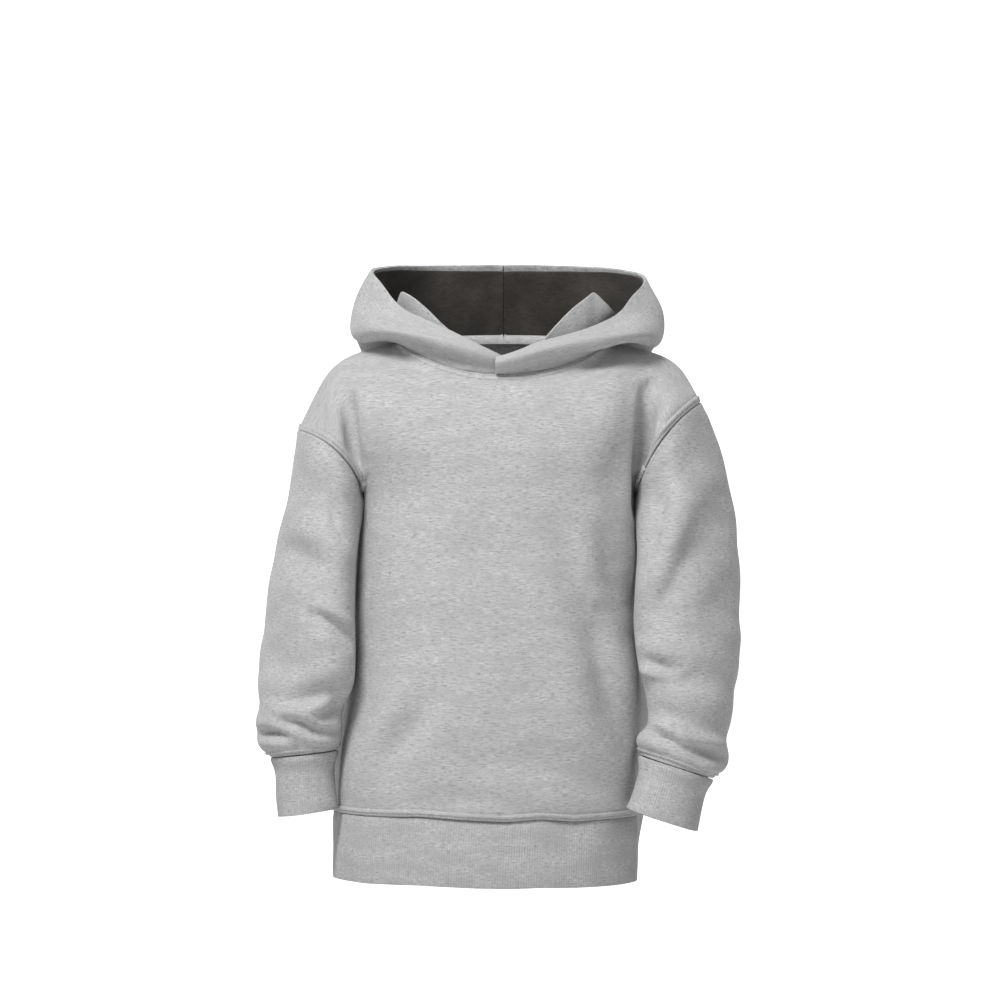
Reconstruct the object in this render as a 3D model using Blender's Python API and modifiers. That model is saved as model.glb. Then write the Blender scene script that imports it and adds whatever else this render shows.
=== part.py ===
"""Toddler pullover hoodie in fleece, worn and hollow, with rib cuffs and waistband and the hood down.

Metres, +Z up, wearer facing -Y. The origin is the centre of the neck opening at shoulder height.
Every piece of cloth is a wall: a smooth surface through a small net of points worked out from the
tables below, thickened inwards.
"""

import math
from collections import namedtuple

import bpy
import numpy as np

MM = 0.001

# Cloth and seams, in millimetres
FLEECE_THICKNESS = 2.0
RIB_THICKNESS = 2.4
LINING_THICKNESS = 1.2
FACING_THICKNESS = 1.6
SEAM_GAP = 0.35
ARMHOLE_GAP = 1.1

# Faces along and around each kind of piece
PANEL_ROWS, PANEL_COLUMNS = 22, 20
SLEEVE_COLUMNS = 20
BAND_COLUMNS = 36
HOOD_ROWS, HOOD_COLUMNS = 10, 16
FACING_ROWS, FACING_COLUMNS = 2, 9

# The level of the waistband's seam, and how square the torso's sections are (2 is an ellipse)
BAND_TOP_Z = -353.0
RING_SQUARENESS = 2.4

# Torso sections: level, side faces, how far the front and the back stand from the middle plane, and how
# much the back swells out just behind the side seams, where it bunches up behind the arms
SWELL_ANGLE = 45.0
Torso = namedtuple("Torso", "z right_x left_x front_y back_y swell")
TORSO = (
    Torso(-404, -126.5, 104.5, -90, 82, 0),
    Torso(-385, -126.0, 105.0, -91, 82, 3),
    Torso(-353, -123.2, 105.5, -89, 80, 9),
    Torso(-343, -123.5, 106.0, -92, 83, 10),
    Torso(-320, -122.4, 107.0, -95, 85, 11),
    Torso(-285, -118.2, 108.0, -96, 86, 12),
    Torso(-245, -111.3, 106.5, -95, 86, 11),
    Torso(-208, -110.3, 102.5, -92, 85, 9.5),
    Torso(-165, -108.5, 103.0, -89, 84, 9),
    Torso(-135, -105.0, 103.1, -86, 83, 6),
    Torso(-109, -103.0, 103.0, -84, 82, 1.2),
)

# Armholes: the seam's highest point on the shoulder, its lowest under the arm, how far it reaches
# to the front and back, and how far its middle bows up towards the neck
Armhole = namedtuple("Armhole", "top_x top_z pit_x pit_z half_depth middle_y bow")
RIGHT_ARMHOLE = Armhole(-153, -63, -103, -109, 55, -1, 9)
LEFT_ARMHOLE = Armhole(152, -42, 103, -109, 55, -1, 8)

# Neck seam: an oval, dipping at the front
NECK_X, NECK_Y = 3, -4
NECK_HALF_WIDTH = 80
NECK_FRONT_REACH, NECK_BACK_REACH = 50, 48
NECK_FRONT_Z, NECK_SIDE_Z, NECK_BACK_Z = -22, 3, 8
NECK_DIP_POWER = 2.2

# Lines that run up a panel from the torso section at the armpits, over two points, to its top edge.
# turn is the angle round the torso from its right side, and top says what the line ends on.
Guide = namedtuple("Guide", "turn low_x low_y low_z high_x high_y high_z top")
FRONT_GUIDES = (
    Guide(9, -108, -47, -88, -126, -49, -58, "right arm"),
    Guide(26, -103.5, -43, -82, -114, -43, -44, "right shoulder"),
    Guide(48, -82, -67, -74, -86, -52, -30, "neck 90"),
    Guide(68, -44, -78, -78, -48, -67, -44, "neck 42"),
    Guide(90, 1, -80, -80, 2, -71, -50, "neck 0"),
    Guide(112, 46, -78, -78, 53, -67, -43, "neck -42"),
    Guide(132, 82, -66, -72, 91, -51, -27, "neck -90"),
    Guide(154, 103.5, -38, -78, 113, -38, -37, "left shoulder"),
    Guide(171, 108.5, -46, -84, 127, -48, -45, "left arm"),
)
BACK_GUIDES = (
    Guide(9, -108, 46, -88, -126, 46, -58, "right arm"),
    Guide(26, -103.5, 44, -82, -114, 41, -46, "right shoulder"),
    Guide(48, -82, 68, -72, -86, 48, -28, "neck 90"),
    Guide(68, -44, 77, -72, -48, 62, -29, "neck 138"),
    Guide(90, 1, 80, -72, 2, 66, -26, "neck 180"),
    Guide(112, 46, 77, -72, 53, 62, -28, "neck -138"),
    Guide(132, 82, 67, -71, 91, 48, -26, "neck -90"),
    Guide(154, 103.5, 42, -80, 113, 39, -41, "left shoulder"),
    Guide(171, 108.5, 45, -85, 127, 45, -47, "left arm"),
)
SHOULDER_SEAM_Y = -1
SHOULDER_SEAM = {
    "right arm": (-139.5, SHOULDER_SEAM_Y, -35.5),
    "right shoulder": (-119, SHOULDER_SEAM_Y, -10),
    "left arm": (143, SHOULDER_SEAM_Y, -25.5),
    "left shoulder": (125, SHOULDER_SEAM_Y, -8),
}
COLUMNS_A_GUIDE = 2
SHOULDER_COLUMNS = 7
SIDE_ROWS = 17

# Sleeve sections: outer and inner point, middle of the depth, half the depth, and how far the inner
# point stands in front of the middle (below 0), as the arms hang a little forward
Sleeve = namedtuple("Sleeve", "outer_x outer_z inner_x inner_z middle_y half_depth skew_y")
RIGHT_SLEEVE = (
    Sleeve(-157, -84, -105.3, -124, -5, 55, -12),
    Sleeve(-162, -118, -106.9, -144, -10, 53, -24),
    Sleeve(-170, -150, -108.2, -166, -15, 51, -27),
    Sleeve(-176.5, -184, -108.3, -192, -20, 49, -26),
    Sleeve(-179.5, -216, -108.6, -217, -24, 47, -25),
    Sleeve(-182, -244, -108.5, -242, -29, 45, -23),
    Sleeve(-183, -264, -110.6, -258, -29, 43, -17),
    Sleeve(-182, -277, -116.5, -271, -30, 41, -12),
    Sleeve(-183.5, -288, -118.8, -281, -30, 39.5, -10),
    Sleeve(-182.5, -297, -118.8, -290, -30, 37, -8),
    Sleeve(-179.5, -303.5, -119.8, -297, -30, 33.5, -6),
    Sleeve(-175.8, -307.3, -122, -301.2, -30, 30, -5),
    Sleeve(-171, -309.3, -124.5, -303.6, -30, 27.2, -4),
)
LEFT_SLEEVE = (
    Sleeve(162, -64, 104.3, -123, -5, 55, -12),
    Sleeve(171, -88, 103.2, -138, -10, 54, -24),
    Sleeve(178.8, -130, 102.8, -160, -17, 51, -25),
    Sleeve(181.5, -174, 100.6, -190, -24, 49, -23),
    Sleeve(182, -206, 99.6, -210, -28, 47, -20),
    Sleeve(180.5, -236, 102.3, -233, -33, 45, -17),
    Sleeve(177.5, -260, 107.2, -255, -38, 43, -12),
    Sleeve(174, -279, 109.5, -272, -43, 41, -9),
    Sleeve(171.5, -293, 109, -284, -46, 39, -7),
    Sleeve(170.8, -302, 103.5, -290.5, -48, 37, -6),
    Sleeve(170.8, -311, 101.6, -296.5, -49, 34, -5),
    Sleeve(168.5, -317.5, 103, -301.5, -49.5, 31, -4),
    Sleeve(163, -322, 105, -305, -50, 29, -4),
    Sleeve(158.2, -324.3, 106, -307, -50, 27.5, -4),
)
RIGHT_CUFF = (
    Sleeve(-170.5, -311.4, -124.8, -305.7, -30, 26.5, -4),
    Sleeve(-169.5, -331, -125, -326, -31, 25.5, -3),
    Sleeve(-168, -354.5, -122.8, -348, -32, 26, -3),
)
LEFT_CUFF = (
    Sleeve(157.4, -326.6, 106, -309.2, -50, 26.5, -4),
    Sleeve(152.5, -343, 101.5, -326, -56, 26, -4),
    Sleeve(147, -363.5, 93.5, -345, -62, 26, -4),
)

# Hood sections, each in an upright plane through the middle of the neck. angle is measured from the
# front; each named point of the section has its reach from the middle and its height.
Hood = namedtuple("Hood", "angle under_r under_z fold_r fold_z belly_r belly_z rim_r rim_z")
RIGHT_HOOD = (
    Hood(-1, 51.5, -19.5, 53.5, -17, 55, -13.5, 53, -10),
    Hood(14, 54.5, -14, 58, -12, 61, -8, 57.5, -3),
    Hood(30, 58, -9, 64, -7.5, 68, -1.5, 62, 6),
    Hood(55, 72, -0.5, 80, 1.5, 87, 8, 72, 20),
    Hood(75, 88, 5, 98, 6, 106, 12, 84, 33),
    Hood(92, 97, 4.5, 108, 4, 116, 11, 94, 49.5),
    Hood(108, 97, 0, 111, -4, 119, 10, 104, 61.5),
    Hood(140, 85, -18, 114, -74, 128, -30, 100, 65),
    Hood(160, 81, -26, 114, -106, 131, -56, 91, 65.5),
    Hood(180, 79, -30, 113, -116, 131, -66, 86, 65.5),
)
LEFT_HOOD = (
    Hood(-6, 58, -19.5, 61, -17.5, 63, -14, 59.5, -9),
    Hood(12, 58.5, -15.5, 62, -13.5, 65, -9, 60, -3.5),
    Hood(30, 60, -10.5, 66, -8.5, 71, -2.5, 62, 4),
    Hood(55, 75, -4, 86, -2.5, 92, 5.5, 76, 12.5),
    Hood(75, 92, 2, 104, 1.5, 112, 8, 92, 28),
    Hood(92, 103, 1.5, 113, -0.5, 120, 8, 101, 42),
    Hood(108, 99, -1, 115, -6, 123, 10, 112, 56),
    Hood(140, 85, -18, 114, -74, 128, -30, 103, 64),
    Hood(160, 81, -26, 114, -106, 131, -56, 91, 65.5),
    Hood(180, 79, -30, 113, -116, 131, -66, 86, 65.5),
)
HOOD_WALL_SWELL = 4.0
HOOD_FULL_HEIGHT = 30.0
HOOD_NECK_LIFT = 0.9
HOOD_NECK_STEP = 0.8
CROSSING_STEP = 6.0

# The lining leaves the hood's front end and neck seam bare, by faces of the shell, and stops short of
# the rim by a share of a face
LINING_FRONT_FACES, LINING_NECK_FACES = 3, 2
LINING_RIM_SHARE = 0.4
LINING_CLEARANCE = 0.8

# The inner ply that stands against the neck: its top edge's angle from the front and level, and how
# far that edge leans outwards from the foot
Facing = namedtuple("Facing", "angle top_z lean")
RIGHT_FACING = (
    Facing(24, -7, 4), Facing(40, 8, 4), Facing(55, 23, 4), Facing(66, 34, 4), Facing(75, 39.5, 4),
    Facing(79, 41, 4), Facing(81, 38, 4.5), Facing(86, 27, 6), Facing(92, 16, 8),
)
LEFT_FACING = (
    Facing(20, -8, 4), Facing(35, 7, 4), Facing(48, 22, 4), Facing(58, 32, 4), Facing(65, 38, 4),
    Facing(68, 40, 4), Facing(70.5, 37.5, 5), Facing(76, 30, 8), Facing(84, 22, 11),
)
FACING_INSET = 3.0
FACING_FOOT_LIFT = 2.5

# Colour, roughness
FLEECE_COLOUR = (0.56, 0.56, 0.56, 1.0)
RIB_COLOUR = (0.50, 0.50, 0.50, 1.0)
LINING_COLOUR = (0.045, 0.043, 0.040, 1.0)
CLOTH_ROUGHNESS = 0.9


def clear_scene():
    """Remove every object that the file opened with."""
    for item in list(bpy.data.objects):
        bpy.data.objects.remove(item, do_unlink=True)


def spline(values, positions):
    """Natural cubic spline through rows of values at 0, 1, 2 ..., read at the given positions."""
    values = np.asarray(values, float)
    count = len(values)
    matrix = np.eye(count)
    bend = np.zeros_like(values)
    for row in range(1, count - 1):
        matrix[row, row - 1:row + 2] = (1, 4, 1)
        bend[row] = 6 * (values[row - 1] - 2 * values[row] + values[row + 1])
    second = np.linalg.solve(matrix, bend.reshape(count, -1)).reshape(values.shape)
    positions = np.asarray(positions, float)
    left = np.clip(np.floor(positions).astype(int), 0, count - 2)
    after = (positions - left).reshape((-1,) + (1,) * (values.ndim - 1))
    before = 1 - after
    start, end = values[left], values[left + 1]
    return (before * start + after * end
            + (before ** 3 - before) * second[left] / 6
            + (after ** 3 - after) * second[left + 1] / 6)


def closed_spline(values, positions):
    """The same spline round a closed ring, whose first point isn't repeated."""
    count = len(values)
    margin = 3
    wrapped = np.concatenate([values[-margin:], values, values[:margin + 1]])
    return spline(wrapped, np.asarray(positions) % count + margin)


def surface(net, rows, columns, closed=False):
    """Smooth surface through a net of points, as rows + 1 by columns + 1 points (or columns, closed)."""
    along = np.linspace(0, len(net) - 1, rows + 1)
    net = spline(net, along)
    across = np.swapaxes(net, 0, 1)
    if closed:
        places = np.arange(columns) * len(across) / columns
        across = closed_spline(across, places)
    else:
        across = spline(across, np.linspace(0, len(across) - 1, columns + 1))
    return np.swapaxes(across, 0, 1)


def neck_point(angle):
    """Point of the neck seam in the direction of an angle in degrees, from the front, + to the right."""
    turn = math.radians(angle)
    reach_y = NECK_FRONT_REACH if math.cos(turn) > 0 else NECK_BACK_REACH
    reach = 1 / math.hypot(math.sin(turn) / NECK_HALF_WIDTH, math.cos(turn) / reach_y)
    x, y = -reach * math.sin(turn), -reach * math.cos(turn)
    end_z = NECK_FRONT_Z if math.cos(turn) > 0 else NECK_BACK_Z
    z = end_z + (NECK_SIDE_Z - end_z) * abs(x / NECK_HALF_WIDTH) ** NECK_DIP_POWER
    return np.array([NECK_X + x, NECK_Y + y, z])


def armhole_point(armhole, turn):
    """Point of an armhole seam: turn 0 is under the arm, 90 the front, 180 the shoulder, 270 the back."""
    angle = math.radians(turn)
    middle = np.array([armhole.top_x + armhole.pit_x, armhole.top_z + armhole.pit_z]) / 2
    half = np.array([armhole.top_x - armhole.pit_x, armhole.top_z - armhole.pit_z]) / 2
    side = 1 if armhole.top_x > 0 else -1
    inward = np.array([-side * half[1], side * half[0]]) / np.linalg.norm(half)
    x, z = middle - math.cos(angle) * half + armhole.bow * math.sin(angle) ** 2 * inward
    return np.array([x, armhole.middle_y - armhole.half_depth * math.sin(angle), z])


def torso_point(row, turn, front):
    """Point of a torso section: turn 0 is the wearer's right side, 90 the middle, 180 the left side."""
    angle = math.radians(turn)
    power = 2 / RING_SQUARENESS
    half_width = (row.left_x - row.right_x) / 2
    middle_x = (row.left_x + row.right_x) / 2
    depth = row.front_y if front else row.back_y
    reach = abs(math.cos(angle)) ** power * half_width
    from_side = min(turn, 180 - turn)
    if not front and from_side < SWELL_ANGLE:
        reach += row.swell * math.sin(math.pi * from_side / SWELL_ANGLE)
    x = middle_x - math.copysign(reach, math.cos(angle))
    return np.array([x, depth * max(math.sin(angle), 0.0) ** power, row.z])


def guide_top(name):
    """End of a guide on the neck seam or the shoulder seam."""
    if name.startswith("neck"):
        return neck_point(float(name.split()[1]))
    return np.array(SHOULDER_SEAM[name], float)


def panel_net(front):
    """Net of the front or back panel, from the waistband seam up to the shoulder and neck seams."""
    guides = FRONT_GUIDES if front else BACK_GUIDES
    seam_side = -SEAM_GAP / 2 if front else SEAM_GAP / 2
    shift = np.array([0, seam_side, 0])
    turns = [0] + [guide.turn for guide in guides] + [180]
    rows = []
    for section in TORSO:
        if section.z >= BAND_TOP_Z:
            rows.append([torso_point(section, turn, front) + shift for turn in turns])
    rows[0] = [point + np.array([0, 0, SEAM_GAP]) for point in rows[0]]
    for level, share in (("low", 60), ("high", 120), ("top", 180)):
        turn = share if front else 360 - share
        row = [armhole_point(RIGHT_ARMHOLE, turn)]
        for guide in guides:
            if level == "top":
                row.append(guide_top(guide.top))
            elif level == "low":
                row.append(np.array([guide.low_x, guide.low_y, guide.low_z]))
            else:
                row.append(np.array([guide.high_x, guide.high_y, guide.high_z]))
        row.append(armhole_point(LEFT_ARMHOLE, turn))
        rows.append([point + shift for point in row])
    return np.array(rows)


def panel_points(front):
    """Points of a panel, whose shoulder edges follow one line shared by front and back."""
    points = surface(panel_net(front), PANEL_ROWS, PANEL_COLUMNS)
    half_gap = -SEAM_GAP / 2 if front else SEAM_GAP / 2
    points[:SIDE_ROWS, (0, -1), 1] = half_gap
    edge_y = SHOULDER_SEAM_Y + half_gap
    for armhole, side, neck, order in ((RIGHT_ARMHOLE, "right", 90, 1), (LEFT_ARMHOLE, "left", -90, -1)):
        line = [armhole_point(armhole, 180), SHOULDER_SEAM[side + " arm"],
                SHOULDER_SEAM[side + " shoulder"], neck_point(neck)]
        edge = spline(np.array(line), np.arange(SHOULDER_COLUMNS) / COLUMNS_A_GUIDE)
        edge[:, 1] = edge_y
        points[-1, ::order][:SHOULDER_COLUMNS] = edge
    return points


def tube_ring(row, points=12):
    """Ring of points round one section of a sleeve or cuff, from the inner point by the front."""
    outer = np.array([row.outer_x, row.outer_z])
    inner = np.array([row.inner_x, row.inner_z])
    ring = []
    for index in range(points):
        angle = 2 * math.pi * index / points
        x, z = (outer + inner) / 2 - (outer - inner) / 2 * math.cos(angle)
        y = row.middle_y - row.half_depth * math.sin(angle) + row.skew_y * math.cos(angle)
        ring.append([x, y, z])
    return np.array(ring)


def sleeve_net(armhole, rows):
    """Net of a sleeve, from just outside its armhole seam to the cuff seam."""
    rings = [tube_ring(row) for row in rows]
    turns = np.arange(len(rings[0])) * 360 / len(rings[0])
    start = np.array([armhole_point(armhole, turn) for turn in turns])
    away = rings[0] - start
    start += away / np.linalg.norm(away, axis=1)[:, None] * ARMHOLE_GAP
    under_arm = 1 + np.maximum(np.cos(np.radians(turns)), 0)
    start[:, 0] += math.copysign(ARMHOLE_GAP, armhole.top_x) * under_arm
    return np.array([start] + rings)


def band_net(points=24):
    """Net of the waistband, a closed ring of rib knit."""
    rows = []
    for section in TORSO:
        if section.z <= BAND_TOP_Z:
            turns = 360 * np.arange(points) / points
            rows.append([torso_point(section, turn if turn <= 180 else 360 - turn, turn <= 180)
                         for turn in turns])
    return np.array(rows)


def hood_net(sections, side):
    """Net of one hood half: from the neck seam under the roll, round its fold, and up to the rim."""
    net = []
    for row in sections:
        direction = np.array([side * math.sin(math.radians(row.angle)),
                              -math.cos(math.radians(row.angle))])
        seam = neck_point(-side * row.angle)
        height = min((row.rim_z - row.belly_z) / HOOD_FULL_HEIGHT, 1)
        wall_r = (row.belly_r + row.rim_r) / 2 + HOOD_WALL_SWELL * height
        wall_z = (row.belly_z + row.rim_z) / 2
        step = direction * (CROSSING_STEP if side > 0 and row is sections[0] else HOOD_NECK_STEP)
        line = [seam + np.array([step[0], step[1], HOOD_NECK_LIFT])]
        for reach, z in ((row.under_r, row.under_z), (row.fold_r, row.fold_z),
                         (row.belly_r, row.belly_z), (wall_r, wall_z), (row.rim_r, row.rim_z)):
            x, y = np.array([NECK_X, NECK_Y]) + direction * reach
            line.append([x, y, z])
        net.append(line)
    net = np.array(net, float)
    net[-1, :, 0] = NECK_X + side * SEAM_GAP / 2
    return net


def grid_directions(points):
    """Direction of the grid's first way at each point, as the mean of the edges on its two sides."""
    edges = np.diff(points, axis=0)
    edges /= np.linalg.norm(edges, axis=2)[:, :, None]
    return np.concatenate([edges[:1], edges[:-1] + edges[1:], edges[-1:]])


def grid_normals(points):
    """Unit normals of an open grid of points."""
    across = np.swapaxes(grid_directions(np.swapaxes(points, 0, 1)), 0, 1)
    normals = np.cross(grid_directions(points), across)
    return normals / np.linalg.norm(normals, axis=2)[:, :, None]


def lining_points(shell, side):
    """Points of one lining half: the shell's own, set in by its thickness and a clearance."""
    inner = shell - grid_normals(shell) * side * (FLEECE_THICKNESS + LINING_CLEARANCE)
    inner[:, -1] += (inner[:, -2] - inner[:, -1]) * LINING_RIM_SHARE
    inner[-1, :, 0] = NECK_X + side * SEAM_GAP / 2
    return inner[LINING_FRONT_FACES:, LINING_NECK_FACES:]


def facing_net(rows, side):
    """Net of the inner ply beside the neck, from its foot on the neck seam up to its peaked edge."""
    net = []
    for row in rows:
        foot = neck_point(-side * row.angle)
        outward = foot - np.array([NECK_X, NECK_Y, foot[2]])
        outward /= np.linalg.norm(outward)
        foot = foot - outward * FACING_INSET + np.array([0, 0, FACING_FOOT_LIFT])
        top = foot + outward * row.lean
        top[2] = row.top_z
        net.append([foot, (foot + top) / 2, top])
    return np.array(net)


def material(name, colour):
    """Matt cloth finish with a plain colour."""
    finish = bpy.data.materials.new(name)
    finish.use_nodes = True
    shader = finish.node_tree.nodes["Principled BSDF"]
    shader.inputs["Base Color"].default_value = colour
    shader.inputs["Roughness"].default_value = CLOTH_ROUGHNESS
    shader.inputs["Metallic"].default_value = 0.0
    return finish


def cloth(name, points, thickness, finish, closed=False, flip=False, square=()):
    """A cloth wall: the grid of points is its outer face, and Solidify thickens it inwards.

    square lists seams whose cut edge lies in an upright plane, as an axis (0 for X, 1 for Y) and a
    mask of the grid's points on it: their inner points are moved into the plane of the outer ones.
    """
    rows, columns = points.shape[:2]
    vertices = points.reshape(-1, 3) * MM
    faces = []
    for row in range(rows - 1):
        for column in range(columns if closed else columns - 1):
            after = (column + 1) % columns
            face = (row * columns + column, row * columns + after,
                    (row + 1) * columns + after, (row + 1) * columns + column)
            faces.append(face[::-1] if flip else face)
    mesh = bpy.data.meshes.new(name)
    mesh.from_pydata(vertices.tolist(), [], faces)
    mesh.shade_smooth()
    mesh.materials.append(finish)
    piece = bpy.data.objects.new(name, mesh)
    wall = piece.modifiers.new("wall", "SOLIDIFY")
    wall.thickness = thickness * MM
    wall.offset = -1
    bpy.data.collections["toddler_hoodie"].objects.link(piece)
    if square:
        thick = bpy.data.meshes.new_from_object(piece.evaluated_get(bpy.context.evaluated_depsgraph_get()))
        piece.modifiers.remove(wall)
        piece.data = thick
        for axis, mask in square:
            for index in np.flatnonzero(mask.reshape(-1)):
                thick.vertices[len(vertices) + int(index)].co[axis] = vertices[index][axis]
    return piece


def build_panels(fleece):
    """Front and back, which meet at the sides and shoulders."""
    for name, front in (("front", True), ("back", False)):
        points = panel_points(front)
        seams = np.zeros(points.shape[:2], bool)
        seams[:SIDE_ROWS, (0, -1)] = True
        seams[-1, :SHOULDER_COLUMNS] = True
        seams[-1, -SHOULDER_COLUMNS:] = True
        cloth(name, points, FLEECE_THICKNESS, fleece, flip=not front, square=((1, seams),))


def build_sleeves(fleece, rib):
    """Both sleeves and their cuffs."""
    for side, armhole, rows, cuff in (("right", RIGHT_ARMHOLE, RIGHT_SLEEVE, RIGHT_CUFF),
                                      ("left", LEFT_ARMHOLE, LEFT_SLEEVE, LEFT_CUFF)):
        flip = side == "right"
        points = surface(sleeve_net(armhole, rows), len(rows), SLEEVE_COLUMNS, closed=True)
        cloth("sleeve_" + side, points, FLEECE_THICKNESS, fleece, closed=True, flip=flip)
        net = np.array([tube_ring(row) for row in cuff])
        points = surface(net, len(cuff) - 1, SLEEVE_COLUMNS, closed=True)
        cloth("cuff_" + side, points, RIB_THICKNESS, rib, closed=True, flip=flip)


def build_waistband(rib):
    """The rib band round the hem."""
    net = band_net()
    points = surface(net, len(net) - 1, BAND_COLUMNS, closed=True)
    cloth("waistband", points, RIB_THICKNESS, rib, closed=True)


def build_hood(fleece, lining):
    """Both hood halves, each with its lining and the inner ply beside the neck."""
    for name, side, sections, facing in (("right", -1, RIGHT_HOOD, RIGHT_FACING),
                                         ("left", 1, LEFT_HOOD, LEFT_FACING)):
        flip = side > 0
        shell = surface(hood_net(sections, side), HOOD_COLUMNS, HOOD_ROWS)
        for part, points, thickness, finish in (
                ("hood_", shell, FLEECE_THICKNESS, fleece),
                ("hood_lining_", lining_points(shell, side), LINING_THICKNESS, lining)):
            seam = np.zeros(points.shape[:2], bool)
            seam[-1] = True
            cloth(part + name, points, thickness, finish, flip=flip, square=((0, seam),))
        points = surface(facing_net(facing, side), FACING_COLUMNS, FACING_ROWS)
        cloth("hood_facing_" + name, points, FACING_THICKNESS, fleece, flip=flip)


def main():
    """Build every piece of the garment."""
    clear_scene()
    collection = bpy.data.collections.new("toddler_hoodie")
    bpy.context.scene.collection.children.link(collection)
    fleece = material("heather_fleece", FLEECE_COLOUR)
    rib = material("heather_rib", RIB_COLOUR)
    lining = material("charcoal_jersey", LINING_COLOUR)
    build_panels(fleece)
    build_sleeves(fleece, rib)
    build_waistband(rib)
    build_hood(fleece, lining)


main()
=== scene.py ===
"""Looks of a toddler's pullover hoodie: heather fleece, rib cuffs and waistband, hood worn down.

Metres in Blender and millimetres in the tables. +Z is up, the wearer faces -Y, and the origin is the
middle of the neck opening. Each piece of cloth is a fine grid on the form of its own solid, worked
out from the same sections, with its folds, seams and topstitching added.
"""

import logging
import math
from dataclasses import dataclass, field, replace
from enum import Enum

import bpy
import numpy as np
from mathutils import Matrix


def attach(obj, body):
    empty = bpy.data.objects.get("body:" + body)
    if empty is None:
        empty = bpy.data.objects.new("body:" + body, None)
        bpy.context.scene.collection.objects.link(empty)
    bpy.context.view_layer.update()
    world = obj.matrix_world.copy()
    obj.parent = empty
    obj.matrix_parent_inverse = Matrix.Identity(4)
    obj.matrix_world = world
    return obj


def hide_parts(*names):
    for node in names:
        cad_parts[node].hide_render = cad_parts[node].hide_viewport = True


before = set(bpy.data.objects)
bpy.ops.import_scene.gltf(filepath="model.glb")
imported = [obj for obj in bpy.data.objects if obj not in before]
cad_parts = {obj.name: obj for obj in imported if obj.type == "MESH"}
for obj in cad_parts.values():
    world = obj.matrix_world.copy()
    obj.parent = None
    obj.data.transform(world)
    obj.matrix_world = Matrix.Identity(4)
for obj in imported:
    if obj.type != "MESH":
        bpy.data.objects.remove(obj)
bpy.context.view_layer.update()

LOG = logging.getLogger("toddler_hoodie")
MM = 0.001
RIGHT, LEFT = -1, 1


class Hold(Enum):
    """How a sheet of cloth is held on the garment."""

    DRAPED = "draped"
    FOLDED = "folded"
    STRETCHED = "stretched"


class Elevation(Enum):
    """A side from which folds are drawn: its two axes, and the axis and sign of what faces it."""

    FRONT = (0, 2, 1, -1)
    BACK = (0, 2, 1, 1)
    WEARER_RIGHT = (1, 2, 0, -1)
    WEARER_LEFT = (1, 2, 0, 1)


class Edge(Enum):
    """A border of a grid of cloth: the axis that leads away from it, and whether it is the last one."""

    BOTTOM = (0, False)
    TOP = (0, True)
    FIRST_SIDE = (1, False)
    LAST_SIDE = (1, True)


def spline(values: np.ndarray, positions: np.ndarray) -> np.ndarray:
    """Read a natural cubic spline.

    Args:
        values: Rows of values at 0, 1, 2 and so on.
        positions: Where to read the spline, in rows.

    Returns:
        One row of values for each position.
    """
    values = np.asarray(values, float)
    count = len(values)
    matrix = np.eye(count)
    bend = np.zeros_like(values)
    for row in range(1, count - 1):
        matrix[row, row - 1:row + 2] = (1, 4, 1)
        bend[row] = 6 * (values[row - 1] - 2 * values[row] + values[row + 1])
    second = np.linalg.solve(matrix, bend.reshape(count, -1)).reshape(values.shape)
    positions = np.asarray(positions, float)
    left = np.clip(np.floor(positions).astype(int), 0, count - 2)
    after = (positions - left).reshape((-1,) + (1,) * (values.ndim - 1))
    before = 1 - after
    return (before * values[left] + after * values[left + 1]
            + (before ** 3 - before) * second[left] / 6
            + (after ** 3 - after) * second[left + 1] / 6)


def closed_spline(values: np.ndarray, positions: np.ndarray) -> np.ndarray:
    """Read the same spline round a closed ring.

    Args:
        values: Rows of values, the first of them not repeated at the end.
        positions: Where to read the ring, in rows.

    Returns:
        One row of values for each position.
    """
    margin = 3
    wrapped = np.concatenate([values[-margin:], values, values[:margin + 1]])
    return spline(wrapped, np.asarray(positions) % len(values) + margin)


def eased(values: np.ndarray, low: float, high: float) -> np.ndarray:
    """Rise smoothly from 0 at low to 1 at high."""
    share = np.clip((values - low) / (high - low), 0, 1)
    return share * share * (3 - 2 * share)


def graded(length: float, step: float, fine_step: float, fine_start: float, fine_end: float) -> np.ndarray:
    """Divide a length into steps that are finer beside its ends.

    Args:
        length: The whole length, in mm.
        step: Step of the middle stretch.
        fine_step: Step of the two end stretches.
        fine_start: Length of the fine stretch at the start.
        fine_end: Length of the fine stretch at the end.

    Returns:
        Shares of the length, from 0 to 1.
    """
    stretches = [(0, fine_start, fine_step), (fine_start, length - fine_end, step),
                 (length - fine_end, length, fine_step)]
    places = [np.linspace(low, high, max(int(round((high - low) / size)), 1), endpoint=False)
              for low, high, size in stretches if high > low]
    return np.append(np.concatenate(places), length) / length


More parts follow.
